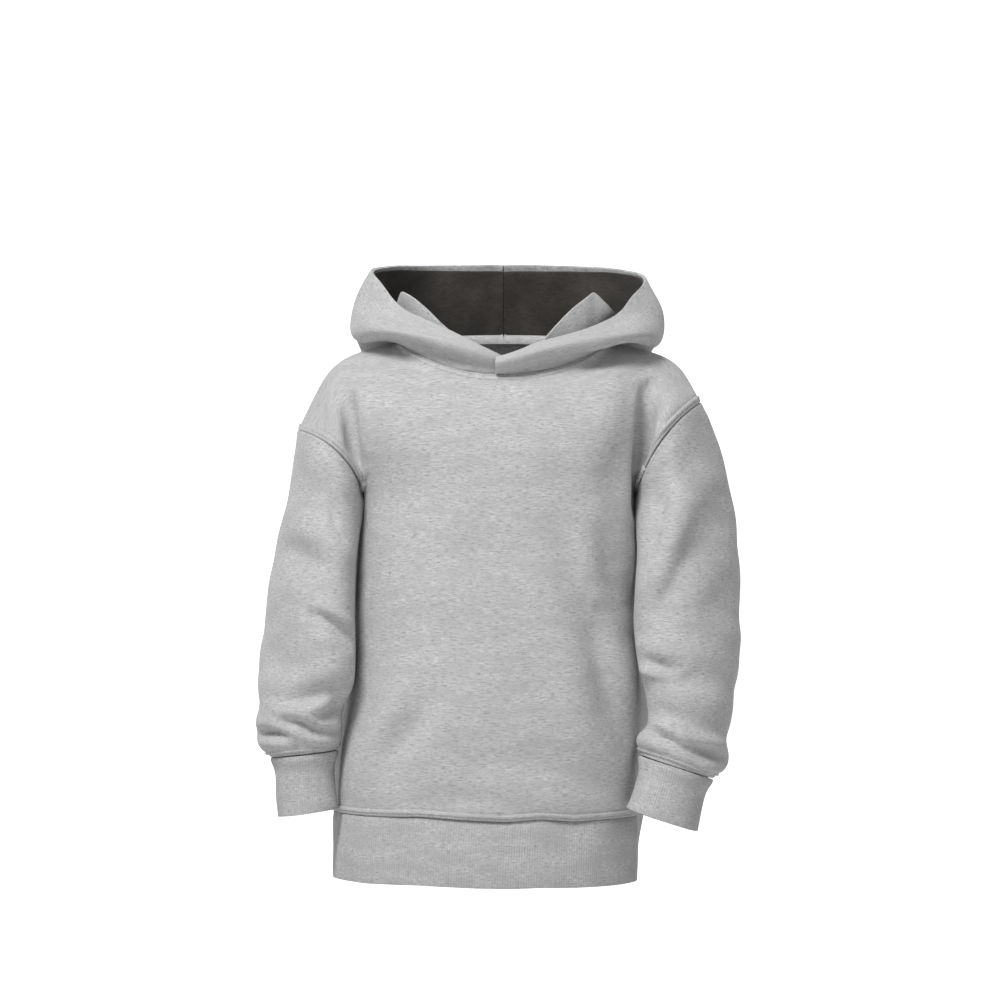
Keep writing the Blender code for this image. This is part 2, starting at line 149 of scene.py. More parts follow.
@dataclass
class ClothFace:
    """The outer face of a piece of cloth: a grid of points in mm, rows up and columns across.

    closed joins the last column to the first, and flip turns the face's outside over. turned says that
    the courses of the knit run up the rows. across_scale stretches the texture map across the columns,
    and level lays the courses level on a bent tube, by taking the map's height from the garment's.
    """

    points: np.ndarray
    closed: bool = False
    flip: bool = False
    turned: bool = False
    across_scale: float = 1.0
    level: bool = False

    @classmethod
    def through(cls, net: np.ndarray, rows: np.ndarray, columns: np.ndarray, closed: bool = False,
                flip: bool = False) -> "ClothFace":
        """Read a smooth face through a small net of points.

        Args:
            net: The net, as rows by columns by three.
            rows: Shares of the way up, from 0 to 1.
            columns: Shares of the way across, from 0 to 1, or below 1 on a closed face.
            closed: Whether the face is a tube.
            flip: Whether its outside is turned over.

        Returns:
            The fine face.
        """
        across = np.swapaxes(spline(net, rows * (len(net) - 1)), 0, 1)
        if closed:
            across = closed_spline(across, columns * len(across))
        else:
            across = spline(across, columns * (len(across) - 1))
        return cls(np.ascontiguousarray(np.swapaxes(across, 0, 1)), closed, flip)

    def slopes(self, axis: int) -> np.ndarray:
        """Direction of the grid along one of its axes, at each point."""
        if axis == 1 and self.closed:
            return np.roll(self.points, -1, axis=1) - np.roll(self.points, 1, axis=1)
        return np.gradient(self.points, axis=axis)

    def normals(self) -> np.ndarray:
        """Unit outward normal at each point."""
        normals = np.cross(self.slopes(1), self.slopes(0))
        if self.flip:
            normals = -normals
        return normals / np.maximum(np.linalg.norm(normals, axis=2), 1e-9)[:, :, None]

    def moved_out(self, distance: np.ndarray | float) -> "ClothFace":
        """The same face moved along its normals by a distance at each point."""
        offset = self.normals() * np.broadcast_to(distance, self.points.shape[:2])[:, :, None]
        return replace(self, points=self.points + offset)

    def lengths(self) -> tuple[np.ndarray, np.ndarray]:
        """Measure along the cloth.

        Returns:
            Length across the columns from the first, and up the rows from the bottom, at each point.
        """
        across = np.linalg.norm(np.diff(self.points, axis=1), axis=2)
        up = np.linalg.norm(np.diff(self.points, axis=0), axis=2)
        across = np.concatenate([np.zeros((len(across), 1)), np.cumsum(across, axis=1)], axis=1)
        up = np.concatenate([np.zeros((1, up.shape[1])), np.cumsum(up, axis=0)], axis=0)
        return across, up

    def from_edge(self, edge: Edge) -> np.ndarray:
        """Length along the cloth from one of its edges, at each point."""
        axis, last = edge.value
        lengths = self.lengths()[1 - axis]
        return lengths.take([-1], axis=axis) - lengths if last else lengths

    def with_allowance(self, edge: Edge, form: "ClothFace", drop: float, reach: float) -> "ClothFace":
        """Carry the cloth on past its bottom or top edge, under the piece that is sewn to it.

        Args:
            edge: The bottom or the top edge.
            form: The same face without its folds, which gives the directions.
            drop: How far under the face the allowance lies, in mm.
            reach: How far it runs on, in mm.

        Returns:
            The longer face.
        """
        first = 0 if edge is Edge.BOTTOM else -1
        away = form.slopes(0)[first] * (-1 if edge is Edge.BOTTOM else 1)
        away /= np.linalg.norm(away, axis=1)[:, None]
        away -= form.normals()[first] * 0.3
        sunk = form.points[first] - form.normals()[first] * drop
        rows = [sunk + away * reach * share for share in (0.0, 0.5, 1.0)]
        parts = rows[::-1] + list(self.points) if edge is Edge.BOTTOM else list(self.points) + rows
        return replace(self, points=np.array(parts))

    def line_beside(self, edge: Edge, distance: float) -> tuple[np.ndarray, np.ndarray]:
        """Follow an edge at a steady distance.

        Args:
            edge: The edge that the line follows.
            distance: Length along the cloth from it, in mm.

        Returns:
            The line's points, and the cloth's normal at each.
        """
        axis, last = edge.value
        away = self.from_edge(edge)
        points, normals = self.points, self.normals()
        if axis == 1:
            away, points, normals = away.T, np.swapaxes(points, 0, 1), np.swapaxes(normals, 0, 1)
        if last:
            away, points, normals = away[::-1], points[::-1], normals[::-1]
        columns = range(away.shape[1])
        line = [[np.interp(distance, away[:, column], points[:, column, k]) for k in range(3)]
                for column in columns]
        facing = [[np.interp(distance, away[:, column], normals[:, column, k]) for k in range(3)]
                  for column in columns]
        return np.array(line), np.array(facing)

    def build(self, name: str, thickness: float, finish: bpy.types.Material,
              rim: float = 0.0) -> bpy.types.Object:
        """Make the cloth as a mesh with its thickness turned inwards.

        Args:
            name: Name of the piece.
            thickness: Thickness of the cloth, in mm.
            finish: Its material.
            rim: Radius that the cut edges are softened by, in mm.

        Returns:
            The new object, with a texture map whose units are metres of cloth.
        """
        rows, columns = self.points.shape[:2]
        row, column = np.meshgrid(np.arange(rows - 1), np.arange(columns if self.closed else columns - 1),
                                  indexing="ij")
        after = (column + 1) % columns
        corners = [row * columns + column, row * columns + after,
                   (row + 1) * columns + after, (row + 1) * columns + column]
        faces = np.stack([corner.ravel() for corner in corners], axis=1)
        across, up = self.lengths()
        middle = len(across) // 2
        cloth_u = np.broadcast_to(across[middle] * self.across_scale, across.shape)
        last_u = 2 * cloth_u[:, -1] - cloth_u[:, -2]
        corner_u = [cloth_u[row, column],
                    np.where(column + 1 < columns, cloth_u[row, after], last_u[row]),
                    np.where(column + 1 < columns, cloth_u[row + 1, after], last_u[row + 1]),
                    cloth_u[row + 1, column]]
        cloth_v = self.points[..., 2] if self.level else up
        corner_v = [cloth_v.ravel()[corner] for corner in corners]
        texture = np.stack([np.stack([u.ravel(), v.ravel()], axis=1)
                            for u, v in zip(corner_u, corner_v)], axis=1) * MM
        if self.turned:
            texture = texture[:, :, ::-1]
        if self.flip:
            faces, texture = faces[:, ::-1], texture[:, ::-1]
        mesh = bpy.data.meshes.new(name)
        mesh.from_pydata((self.points.reshape(-1, 3) * MM).tolist(), [], faces.tolist())
        layer = mesh.uv_layers.new(name="cloth")
        layer.data.foreach_set("uv", np.ascontiguousarray(texture, np.float32).ravel())
        mesh.shade_smooth()
        mesh.materials.append(finish)
        piece = bpy.data.objects.new(name, mesh)
        bpy.context.scene.collection.objects.link(piece)
        wall = piece.modifiers.new("thickness", "SOLIDIFY")
        wall.thickness = thickness * MM
        wall.offset = -1
        wall.use_even_offset = False
        if rim > 0:
            soften = piece.modifiers.new("soft edges", "BEVEL")
            soften.width = rim * MM
            soften.segments = 2
            soften.limit_method = "ANGLE"
            soften.angle_limit = math.radians(60)
        return piece


@dataclass(frozen=True)
class Fold:
    """A soft trough, or a ridge where its depth is below 0, drawn on one elevation in mm.

    width is half its breadth. lean makes one flank steeper than the other, and bank is the share of
    the depth by which the cloth stands up on both sides. It fades out at its ends, and where the
    cloth turns away from the elevation.
    """

    elevation: Elevation
    path: tuple[tuple[float, float], ...]
    width: float
    depth: float
    lean: float = 0.0
    bank: float = 0.35
    steps_a_span: int = 6
    end_share: float = 0.08
    end_power: float = 0.7
    facing_limit: float = 0.45

    def offsets(self, face: ClothFace, normals: np.ndarray) -> np.ndarray:
        """Work out how far the fold moves a face.

        Args:
            face: The cloth that takes the fold.
            normals: Its outward normals.

        Returns:
            Distance out along the normal at each point, in mm.
        """
        first, second, facing_axis, sign = self.elevation.value
        flat = face.points[..., (first, second)]
        steps = self.steps_a_span * (len(self.path) - 1)
        line = spline(np.array(self.path, float), np.linspace(0, len(self.path) - 1, steps + 1))
        nearest = np.full(flat.shape[:2], np.inf)
        side = np.zeros(flat.shape[:2])
        along = np.zeros(flat.shape[:2])
        for index, (start, end) in enumerate(zip(line[:-1], line[1:])):
            run = end - start
            share = np.clip(((flat - start) @ run) / (run @ run), 0, 1)
            away = flat - start - share[..., None] * run
            distance = np.hypot(away[..., 0], away[..., 1])
            closer = distance < nearest
            nearest = np.where(closer, distance, nearest)
            side = np.where(closer, np.sign(run[0] * away[..., 1] - run[1] * away[..., 0]), side)
            along = np.where(closer, (index + share) / steps, along)
        width = self.width * (1 + self.lean * side)
        shape = np.exp(-(nearest / width) ** 2) - self.bank * np.exp(-((nearest - 2 * width) / width) ** 2)
        inside = self.end_share + (1 - 2 * self.end_share) * along
        fading = np.sin(np.pi * np.clip(inside, 0, 1)) ** self.end_power
        facing = eased(normals[..., facing_axis] * sign, 0.0, self.facing_limit)
        return -self.depth * shape * fading * facing


@dataclass(frozen=True)
class Undulation:
    """Slow uneven waves, because no soft cloth lies truly smooth. depth is that of a group of waves."""

    seed: int
    depth: float = 0.55
    shortest: float = 26.0
    longest: float = 95.0
    waves: int = 18
    group: int = 6

    def offsets(self, face: ClothFace) -> np.ndarray:
        """Work out how far a face is moved.

        Args:
            face: The cloth that is moved.

        Returns:
            Distance out along the normal at each point, in mm.
        """
        draw = np.random.default_rng(self.seed)
        total = np.zeros(face.points.shape[:2])
        for _ in range(self.waves):
            direction = draw.normal(size=3)
            direction /= np.linalg.norm(direction)
            wavelength = draw.uniform(self.shortest, self.longest)
            phase = draw.uniform(0, 2 * math.pi)
            wave = np.sin(face.points @ direction * 2 * math.pi / wavelength + phase)
            total += wave * wavelength / self.longest
        return total * self.depth / math.sqrt(self.waves / self.group)


@dataclass(frozen=True)
class SewnEdge:
    """A seam along one edge: the allowance under it lifts the cloth, and stitch lines press it down."""

    edge: Edge
    stitch_lines: tuple[float, ...] = (2.0, 5.6)
    lift: float = 1.3
    allowance: float = 6.6
    groove: float = 1.1
    groove_width: float = 0.9
    tuck: float = 0.3
    tuck_width: float = 0.8
    slope: tuple[float, float] = (-2.5, 1.0)

    def offsets(self, face: ClothFace) -> np.ndarray:
        """Work out how far a face is moved.

        Args:
            face: The cloth that is moved.

        Returns:
            Distance out along the normal at each point, in mm.
        """
        away = face.from_edge(self.edge)
        start, end = (self.allowance + place for place in self.slope)
        total = self.lift * (1 - eased(away, start, end))
        total -= (self.tuck + self.lift) * np.exp(-(away / self.tuck_width) ** 2)
        for distance in self.stitch_lines:
            total -= self.groove * np.exp(-((away - distance) / self.groove_width) ** 2)
        return total


@dataclass(frozen=True)
class Topstitching:
    """A run of lockstitches: each is a short bar of thread with round ends, lying on the cloth."""

    length: float = 2.5
    pitch: float = 3.3
    radius: float = 0.32
    height: float = 0.06
    sides: int = 6

    def bars(self, line: np.ndarray, facing: np.ndarray, closed: bool = False) -> list[np.ndarray]:
        """Place the stitches along a line.

        Args:
            line: Points of the line, in mm.
            facing: The cloth's normal at each.
            closed: Whether the line runs on from its end to its start.

        Returns:
            For each stitch, its middle, half its length as a vector, and the cloth's normal.
        """
        if closed:
            line, facing = (np.concatenate([rows, rows[:1]]) for rows in (line, facing))
        run = np.concatenate([[0], np.cumsum(np.linalg.norm(np.diff(line, axis=0), axis=1))])
        count = max(int(run[-1] / self.pitch), 1)
        centres = (np.arange(count) + 0.5) * run[-1] / count
        starts, ends, middles, normals = (
            np.stack([np.interp(places, run, rows[:, k]) for k in range(3)], axis=1)
            for places, rows in ((centres - self.length / 2, line), (centres + self.length / 2, line),
                                 (centres, line), (centres, facing)))
        return [np.array([middle + normal * self.height, (end - start) / 2, normal])
                for start, end, middle, normal in zip(starts, ends, middles, normals)]

    def build(self, name: str, bars: list[np.ndarray], finish: bpy.types.Material) -> bpy.types.Object:
        """Join every stitch into one mesh.

        Args:
            name: Name of the piece.
            bars: The stitches that bars() placed.
            finish: The thread's material.

        Returns:
            The new object.
        """
        turns = np.arange(self.sides) * 2 * math.pi / self.sides
        stations = ((-1.0, 0.0), (-0.82, 0.75), (-0.4, 1.0), (0.4, 1.0), (0.82, 0.75), (1.0, 0.0))
        vertices, faces = [], []
        for middle, half, normal in bars:
            across = np.cross(half, normal)
            across *= self.radius / np.linalg.norm(across)
            up = normal * self.radius
            first = len(vertices)
            vertices.append(middle + half * stations[0][0])
            for place, swell in stations[1:-1]:
                for turn in turns:
                    vertices.append(middle + half * place
                                    + swell * (across * math.cos(turn) + up * math.sin(turn)))
            vertices.append(middle + half * stations[-1][0])
            last = len(vertices) - 1
            for side in range(self.sides):
                after = (side + 1) % self.sides
                faces.append((first, first + 1 + side, first + 1 + after))
                for ring in range(len(stations) - 3):
                    low = first + 1 + ring * self.sides
                    faces.append((low + side, low + self.sides + side,
                                  low + self.sides + after, low + after))
                end = last - self.sides
                faces.append((end + side, last, end + after))
        mesh = bpy.data.meshes.new(name)
        mesh.from_pydata((np.array(vertices) * MM).tolist(), [], faces)
        mesh.shade_smooth()
        mesh.materials.append(finish)
        piece = bpy.data.objects.new(name, mesh)
        bpy.context.scene.collection.objects.link(piece)
        return piece


def linear(colour: str) -> tuple[float, float, float, float]:
    """Turn an sRGB hex colour into a linear one with full alpha."""
    channels = [int(colour[place:place + 2], 16) / 255 for place in (1, 3, 5)]
    flat = [value / 12.92 if value <= 0.04045 else ((value + 0.055) / 1.055) ** 2.4 for value in channels]
    return (*flat, 1.0)


def add_node(tree: bpy.types.NodeTree, kind: str, inputs: dict[str | int, object] | None = None,
             **settings: object) -> bpy.types.Node:
    """Add a node with its settings and links.

    Args:
        tree: The material's or world's node tree.
        kind: The node's type.
        inputs: For each input, by name or place, a value to set or another node's output to link.
        settings: The node's own properties.

    Returns:
        The new node.
    """
    added = tree.nodes.new(kind)
    for name, value in settings.items():
        setattr(added, name, value)
    for name, value in (inputs or {}).items():
        if isinstance(value, bpy.types.NodeSocket):
            tree.links.new(value, added.inputs[name])
        else:
            added.inputs[name].default_value = value
    return added


def new_material(name: str) -> tuple[bpy.types.Material, bpy.types.NodeTree]:
    """Start a material with an empty node tree."""
    material = bpy.data.materials.new(name)
    material.use_nodes = True
    material.node_tree.nodes.clear()
    return material, material.node_tree


@dataclass(frozen=True)
class HeatherFleece:
    """Brushed-back fleece knitted from marled cotton and polyester yarn: matt and softly napped.

    Pale and charcoal fibres spun together show as short level dashes along the courses of the knit.
    """

    name: str = "marled_fleece_knit"
    base: str = "#C6C6C6"
    dark_fibre: str = "#8E8E8F"
    light_fibre: str = "#E2E2E2"
    cloud: str = "#B3B3B4"
    dash_mm: tuple[float, float] = (6.5, 1.0)
    cloud_mm: tuple[float, float] = (30.0, 9.0)
    nap_mm: float = 1.1
    wale_mm: float = 0.0
    # Painted shade: the colour of the valleys between a knit's wales, where shade falls
    valley_shade: str = "#A6A6A7"
    roughness: float = 0.93
    sheen: float = 0.18
    bump_mm: float = 0.12

    def build(self) -> bpy.types.Material:
        """Make the material.

        Returns:
            The new material.
        """
        material, tree = new_material(self.name)
        cloth = add_node(tree, "ShaderNodeUVMap", uv_map="cloth").outputs["UV"]
        dash_u, dash_v = (1 / (size * MM) for size in self.dash_mm)
        dashes = self.noise(tree, cloth, dash_u, dash_v, 2.0)
        # A second set of finer dashes, as fibres are of uneven length
        fine = self.noise(tree, cloth, dash_u * 2.3, dash_v * 1.25, 1.0)
        cloud_u, cloud_v = (1 / (size * MM) for size in self.cloud_mm)
        clouds = self.noise(tree, cloth, cloud_u, cloud_v, 3.0)
        nap = self.noise(tree, cloth, 1 / (self.nap_mm * MM), 1 / (self.nap_mm * MM), 2.0)
        fibres = add_node(tree, "ShaderNodeValToRGB", {0: dashes})
        self.set_ramp(fibres, ((0.30, self.dark_fibre), (0.44, self.base), (0.56, self.base),
                               (0.72, self.light_fibre)))
        flecks = add_node(tree, "ShaderNodeValToRGB", {0: fine})
        self.set_ramp(flecks, ((0.26, self.dark_fibre), (0.42, self.base), (0.60, self.base),
                               (0.78, self.light_fibre)))
        blended = add_node(tree, "ShaderNodeMix", {0: 0.45, 6: fibres.outputs[0], 7: flecks.outputs[0]},
                           data_type="RGBA")
        share = add_node(tree, "ShaderNodeMapRange", {0: clouds, 1: 0.35, 2: 0.68, 3: 0.0, 4: 0.5})
        colour = add_node(tree, "ShaderNodeMix", {0: share.outputs[0], 6: blended.outputs[2],
                                                  7: linear(self.cloud)}, data_type="RGBA").outputs[2]
        # Painted shade in the valleys between the wales of the knit
        if self.wale_mm:
            colour = self.shade_wale_valleys(tree, cloth, colour, clouds)
        bump = add_node(tree, "ShaderNodeBump", {"Strength": 0.6, "Distance": self.bump_mm * MM,
                                                 "Height": nap})
        shader = add_node(tree, "ShaderNodeBsdfPrincipled", {
            "Base Color": colour, "Roughness": self.roughness, "Metallic": 0.0, "IOR": 1.5,
            "Specular IOR Level": 0.25, "Sheen Weight": self.sheen, "Sheen Roughness": 0.6,
            "Sheen Tint": linear("#FFFFFF"), "Normal": bump.outputs[0]})
        add_node(tree, "ShaderNodeOutputMaterial", {0: shader.outputs[0]})
        return material

    def noise(self, tree: bpy.types.NodeTree, cloth: bpy.types.NodeSocket, across: float, up: float,
              detail: float) -> bpy.types.NodeSocket:
        """Add soft noise stretched along the cloth.

        Args:
            tree: The material's node tree.
            cloth: Place on the cloth, in metres.
            across: Waves in a metre across the cloth.
            up: Waves in a metre up the cloth.
            detail: Octaves of finer noise.

        Returns:
            The noise, from 0 to 1.
        """
        place = add_node(tree, "ShaderNodeMapping", {"Vector": cloth, "Scale": (across, up, 1.0)})
        noise = add_node(tree, "ShaderNodeTexNoise", {"Vector": place.outputs[0], "Scale": 1.0,
                                                      "Detail": detail, "Roughness": 0.55},
                         noise_dimensions="2D")
        return noise.outputs[0]

    def shade_wale_valleys(self, tree: bpy.types.NodeTree, cloth: bpy.types.NodeSocket,
               colour: bpy.types.NodeSocket, patches: bpy.types.NodeSocket) -> bpy.types.NodeSocket:
        """Darken the valleys between the wales of a rib knit with painted shade, more in some patches than
        in others.

        Args:
            tree: The material's node tree.
            cloth: Place on the cloth, in metres.
            colour: The colour of the yarn.
            patches: Slow noise that says where the painted valley shade is darker.

        Returns:
            The colour with painted shade in its valleys.
        """
        across = add_node(tree, "ShaderNodeSeparateXYZ", {0: cloth}).outputs[0]
        turns = add_node(tree, "ShaderNodeMath", {0: across, 1: 2 * math.pi / (self.wale_mm * MM)},
                         operation="MULTIPLY").outputs[0]
        wave = add_node(tree, "ShaderNodeMath", {0: turns}, operation="COSINE").outputs[0]
        shaded_valleys = add_node(tree, "ShaderNodeMapRange", {0: wave, 1: 0.1, 2: -1.0, 3: 0.0, 4: 1.0}).outputs[0]
        patchy = add_node(tree, "ShaderNodeMapRange",
                          {0: patches, 1: 0.3, 2: 0.7, 3: 0.15, 4: 0.8}).outputs[0]
        share = add_node(tree, "ShaderNodeMath", {0: shaded_valleys, 1: patchy}, operation="MULTIPLY").outputs[0]
        return add_node(tree, "ShaderNodeMix", {0: share, 6: colour, 7: linear(self.valley_shade)},
                        data_type="RGBA").outputs[2]

    def set_ramp(self, ramp: bpy.types.Node, stops: tuple[tuple[float, str], ...]) -> None:
        """Set a colour ramp's stops.

        Args:
            ramp: The colour ramp node.
            stops: The place and colour of each stop.
        """
        elements = ramp.color_ramp.elements
        while len(elements) < len(stops):
            elements.new(0.5)
        for element, (place, colour) in zip(elements, stops):
            element.position = place
            element.color = linear(colour)


@dataclass(frozen=True)
class HeatherRib(HeatherFleece):
    """One-by-one rib knit from the same marled yarn, with elastane: slightly darker and harder.

    Its upright wales stand 1.5 mm apart. They are drawn 2 mm apart, so that they show.
    """

    name: str = "marled_rib_knit"
    base: str = "#C2C2C2"
    dark_fibre: str = "#8C8C8D"
    light_fibre: str = "#DEDEDE"
    cloud: str = "#B0B0B1"
    dash_mm: tuple[float, float] = (4.5, 1.2)
    wale_mm: float = 2.0
    sheen: float = 0.12
    bump_mm: float = 0.08


@dataclass(frozen=True)
class PaintedShadeJersey(HeatherFleece):
    """Single jersey lining from marled cotton: matt, with faint paler fibres. Its charcoal colour is painted
    shade, standing in for the deep shade inside the hood.
    """

    name: str = "painted_shade_jersey_knit"
    # Charcoal colours: painted shade for the inside of the hood, which lies in deep shade
    base: str = "#56524E"
    dark_fibre: str = "#46423F"
    light_fibre: str = "#5E5A57"
    cloud: str = "#423E3B"
    # Painted shade for the valleys between the jersey's wales
    valley_shade: str = "#35322F"
    # Wales of the jersey, 0.9 mm apart on the real cloth and drawn twice as coarse
    wale_mm: float = 1.8
    sheen: float = 0.08
    bump_mm: float = 0.06


@dataclass(frozen=True)
class SpunThread:
    """Spun polyester sewing thread, twisted and lightly waxed: a touch paler and smoother than the cloth."""

    name: str = "spun_polyester_thread"
    colour: str = "#DEDEDE"
    shaded: str = "#BEBEBE"
    twist_mm: float = 0.6

    def build(self) -> bpy.types.Material:
        """Make the material.

        Returns:
            The new material.
        """
        material, tree = new_material(self.name)
        place = add_node(tree, "ShaderNodeTexCoord").outputs["Object"]
        noise = add_node(tree, "ShaderNodeTexNoise", {"Vector": place, "Detail": 1.0,
                                                      "Scale": 1 / (self.twist_mm * MM)}).outputs[0]
        colour = add_node(tree, "ShaderNodeMix", {0: noise, 6: linear(self.shaded),
                                                  7: linear(self.colour)}, data_type="RGBA").outputs[2]
        bump = add_node(tree, "ShaderNodeBump", {"Strength": 0.5, "Distance": 0.05 * MM, "Height": noise})
        shader = add_node(tree, "ShaderNodeBsdfPrincipled", {
            "Base Color": colour, "Roughness": 0.7, "Metallic": 0.0, "IOR": 1.55,
            "Normal": bump.outputs[0]})
        add_node(tree, "ShaderNodeOutputMaterial", {0: shader.outputs[0]})
        return material


@dataclass(frozen=True)
class StudioPaper:
    """Seamless white background paper. The stretch behind is lit on its own, and reads as plain white."""

    name: str = "seamless_white_paper"
    colour: str = "#EDEDED"
    glow: float = 0.0

    def build(self) -> bpy.types.Material:
        """Make the material.

        Returns:
            The new material.
        """
        material, tree = new_material(self.name)
        shader = add_node(tree, "ShaderNodeBsdfPrincipled", {
            "Base Color": linear(self.colour), "Roughness": 0.9, "Emission Color": linear("#FFFFFF"),
            "Emission Strength": self.glow})
        add_node(tree, "ShaderNodeOutputMaterial", {0: shader.outputs[0]})
        return material


@dataclass(frozen=True)
class NeckSeam:
    """The oval neck seam, dipping at the front. Angles are from the front, + to the wearer's right."""

    x: float = 3
    y: float = -4
    half_width: float = 80
    front_reach: float = 50
    back_reach: float = 48
    front_z: float = -22
    side_z: float = 3
    back_z: float = 8
    dip_power: float = 2.2

    def point(self, angle: float) -> np.ndarray:
        """Find the point of the seam in one direction.

        Args:
            angle: The direction, in degrees.

        Returns:
            The point, in mm.
        """
        turn = math.radians(angle)
        ahead = math.cos(turn) > 0
        reach_y = self.front_reach if ahead else self.back_reach
        reach = 1 / math.hypot(math.sin(turn) / self.half_width, math.cos(turn) / reach_y)
        x, y = -reach * math.sin(turn), -reach * math.cos(turn)
        end_z = self.front_z if ahead else self.back_z
        z = end_z + (self.side_z - end_z) * abs(x / self.half_width) ** self.dip_power
        return np.array([self.x + x, self.y + y, z])

    def angle_of(self, place: np.ndarray) -> float:
        """Angle in degrees, round the neck, at which a place lies."""
        return math.degrees(math.atan2(self.x - place[0], self.y - place[1]))

    def nearest(self, places: np.ndarray, step: float = 0, lift: float = 0) -> np.ndarray:
        """Find the seam in the direction of each of a row of places.

        Args:
            places: A row of places near the seam.
            step: How far outside the seam to stand, in mm.
            lift: How far above the seam to stand, in mm.

        Returns:
            The row of places on the seam.
        """
        line = np.array([self.point(self.angle_of(place)) for place in places])
        away = line - np.array([self.x, self.y, 0])
        away[:, 2] = 0
        away /= np.linalg.norm(away, axis=1)[:, None]
        return line + away * step + np.array([0, 0, lift])


@dataclass(frozen=True)
class ArmholeSeam:
    """A dropped armhole: its points on the shoulder and under the arm, its reach and its bow."""

    top_x: float
    top_z: float
    pit_x: float
    pit_z: float
    bow: float
    half_depth: float = 55
    middle_y: float = -1

    def point(self, turn: float) -> np.ndarray:
        """Find a point of the seam.

        Args:
            turn: 0 is under the arm, 90 the front, 180 the shoulder and 270 the back.

        Returns:
            The point, in mm.
        """
        angle = math.radians(turn)
        middle = np.array([self.top_x + self.pit_x, self.top_z + self.pit_z]) / 2
        half = np.array([self.top_x - self.pit_x, self.top_z - self.pit_z]) / 2
        side = 1 if self.top_x > 0 else -1
        inward = np.array([-side * half[1], side * half[0]]) / np.linalg.norm(half)
        x, z = middle - math.cos(angle) * half + self.bow * math.sin(angle) ** 2 * inward
        return np.array([x, self.middle_y - self.half_depth * math.sin(angle), z])


RIGHT_ARMHOLE = ArmholeSeam(-153, -63, -103, -109, bow=9)
LEFT_ARMHOLE = ArmholeSeam(152, -42, 103, -109, bow=8)
ARMHOLES = {RIGHT: RIGHT_ARMHOLE, LEFT: LEFT_ARMHOLE}
SIDE_NAMES = {RIGHT: "right", LEFT: "left"}


@dataclass(frozen=True)
class TorsoSection:
    """A level section of the torso, in mm: its sides, and how far front and back stand out.

    swell is how much the back bulges just behind the side seams, where it bunches up behind the arms.
    """

    z: float
    right_x: float
    left_x: float
    front_y: float
    back_y: float
    swell: float = 0.0
    squareness: float = 2.4
    swell_angle: float = 45.0

    def point(self, turn: float) -> np.ndarray:
        """Find a point of the section.

        Args:
            turn: 0 is the right side, 90 the front, 180 the left and 270 the back.

        Returns:
            The point, in mm.
        """
        angle = math.radians(turn)
        power = 2 / self.squareness
        half_width = (self.left_x - self.right_x) / 2
        middle_x = (self.left_x + self.right_x) / 2
        reach = abs(math.cos(angle)) ** power * half_width
        from_side = min(turn % 180, 180 - turn % 180)
        if turn > 180 and from_side < self.swell_angle:
            reach += self.swell * math.sin(math.pi * from_side / self.swell_angle)
        x = middle_x - math.copysign(reach, math.cos(angle))
        depth = self.front_y if turn <= 180 else self.back_y
        return np.array([x, depth * max(abs(math.sin(angle)), 1e-12) ** power, self.z])


TORSO = (
    TorsoSection(-404, -126.5, 104.5, -90, 82, 0),
    TorsoSection(-385, -126.0, 105.0, -91, 82, 3),
    TorsoSection(-353, -123.2, 105.5, -89, 80, 9),
    TorsoSection(-343, -123.5, 106.0, -92, 83, 10),
    TorsoSection(-320, -122.4, 107.0, -95, 85, 11),
    TorsoSection(-285, -118.2, 108.0, -96, 86, 12),
    TorsoSection(-245, -111.3, 106.5, -95, 86, 11),
    TorsoSection(-208, -110.3, 102.5, -92, 85, 9.5),
    TorsoSection(-165, -108.5, 103.0, -89, 84, 9),
    TorsoSection(-135, -105.0, 103.1, -86, 83, 6),
    TorsoSection(-109, -103.0, 103.0, -84, 82, 1.2),
)
BAND_TOP_Z = -353.0


@dataclass(frozen=True)
class PanelGuide:
    """A line up a panel above the armpits: its turn below, two points in mm, and what it ends on."""

    turn: float
    low: tuple[float, float, float]
    high: tuple[float, float, float]
    top: str


@dataclass(frozen=True)
class TubeSection:
    """A section of a sleeve or cuff, in mm: outer and inner point, and its depth's middle and half.

    skew_y is below 0 where the inner point stands in front of the middle, as the arms hang forward.
    """

    outer_x: float
    outer_z: float
    inner_x: float
    inner_z: float
    middle_y: float
    half_depth: float
    skew_y: float

    def ring(self, points: int = 12) -> np.ndarray:
        """Ring of points, from the inner point by the front."""
        outer, inner = np.array([self.outer_x, self.outer_z]), np.array([self.inner_x, self.inner_z])
        angles = 2 * math.pi * np.arange(points) / points
        level = (outer + inner) / 2 - np.cos(angles)[:, None] * (outer - inner) / 2
        depth = self.middle_y - self.half_depth * np.sin(angles) + self.skew_y * np.cos(angles)
        return np.stack([level[:, 0], depth, level[:, 1]], axis=1)


@dataclass(frozen=True)
class HoodSection:
    """An upright section of the hood, in mm: its angle from the front, and reach and height of points."""

    angle: float
    under: tuple[float, float]
    fold: tuple[float, float]
    belly: tuple[float, float]
    rim: tuple[float, float]


def even_places(net: np.ndarray, axis: int, step: float, fine_step: float = 0.0, fine_start: float = 0.0,
                fine_end: float = 0.0) -> np.ndarray:
    """Space lines of a grid by their length along a net, finer beside its ends.

    Args:
        net: The net, as rows by columns by three.
        axis: 0 to space the rows and 1 to space the columns.
        step: Length between lines, in mm.
        fine_step: The same beside the ends.
        fine_start: Length of the fine stretch at the start.
        fine_end: Length of the fine stretch at the end.

    Returns:
        Shares of the way through the net, from 0 to 1.
    """
    shares = np.linspace(0, 1, 121)
    lengths = ClothFace.through(net, shares, shares).lengths()[1 - axis].mean(axis=1 - axis)
    wanted = graded(lengths[-1], step, fine_step or step, fine_start, fine_end)
    return np.interp(wanted * lengths[-1], lengths, shares)


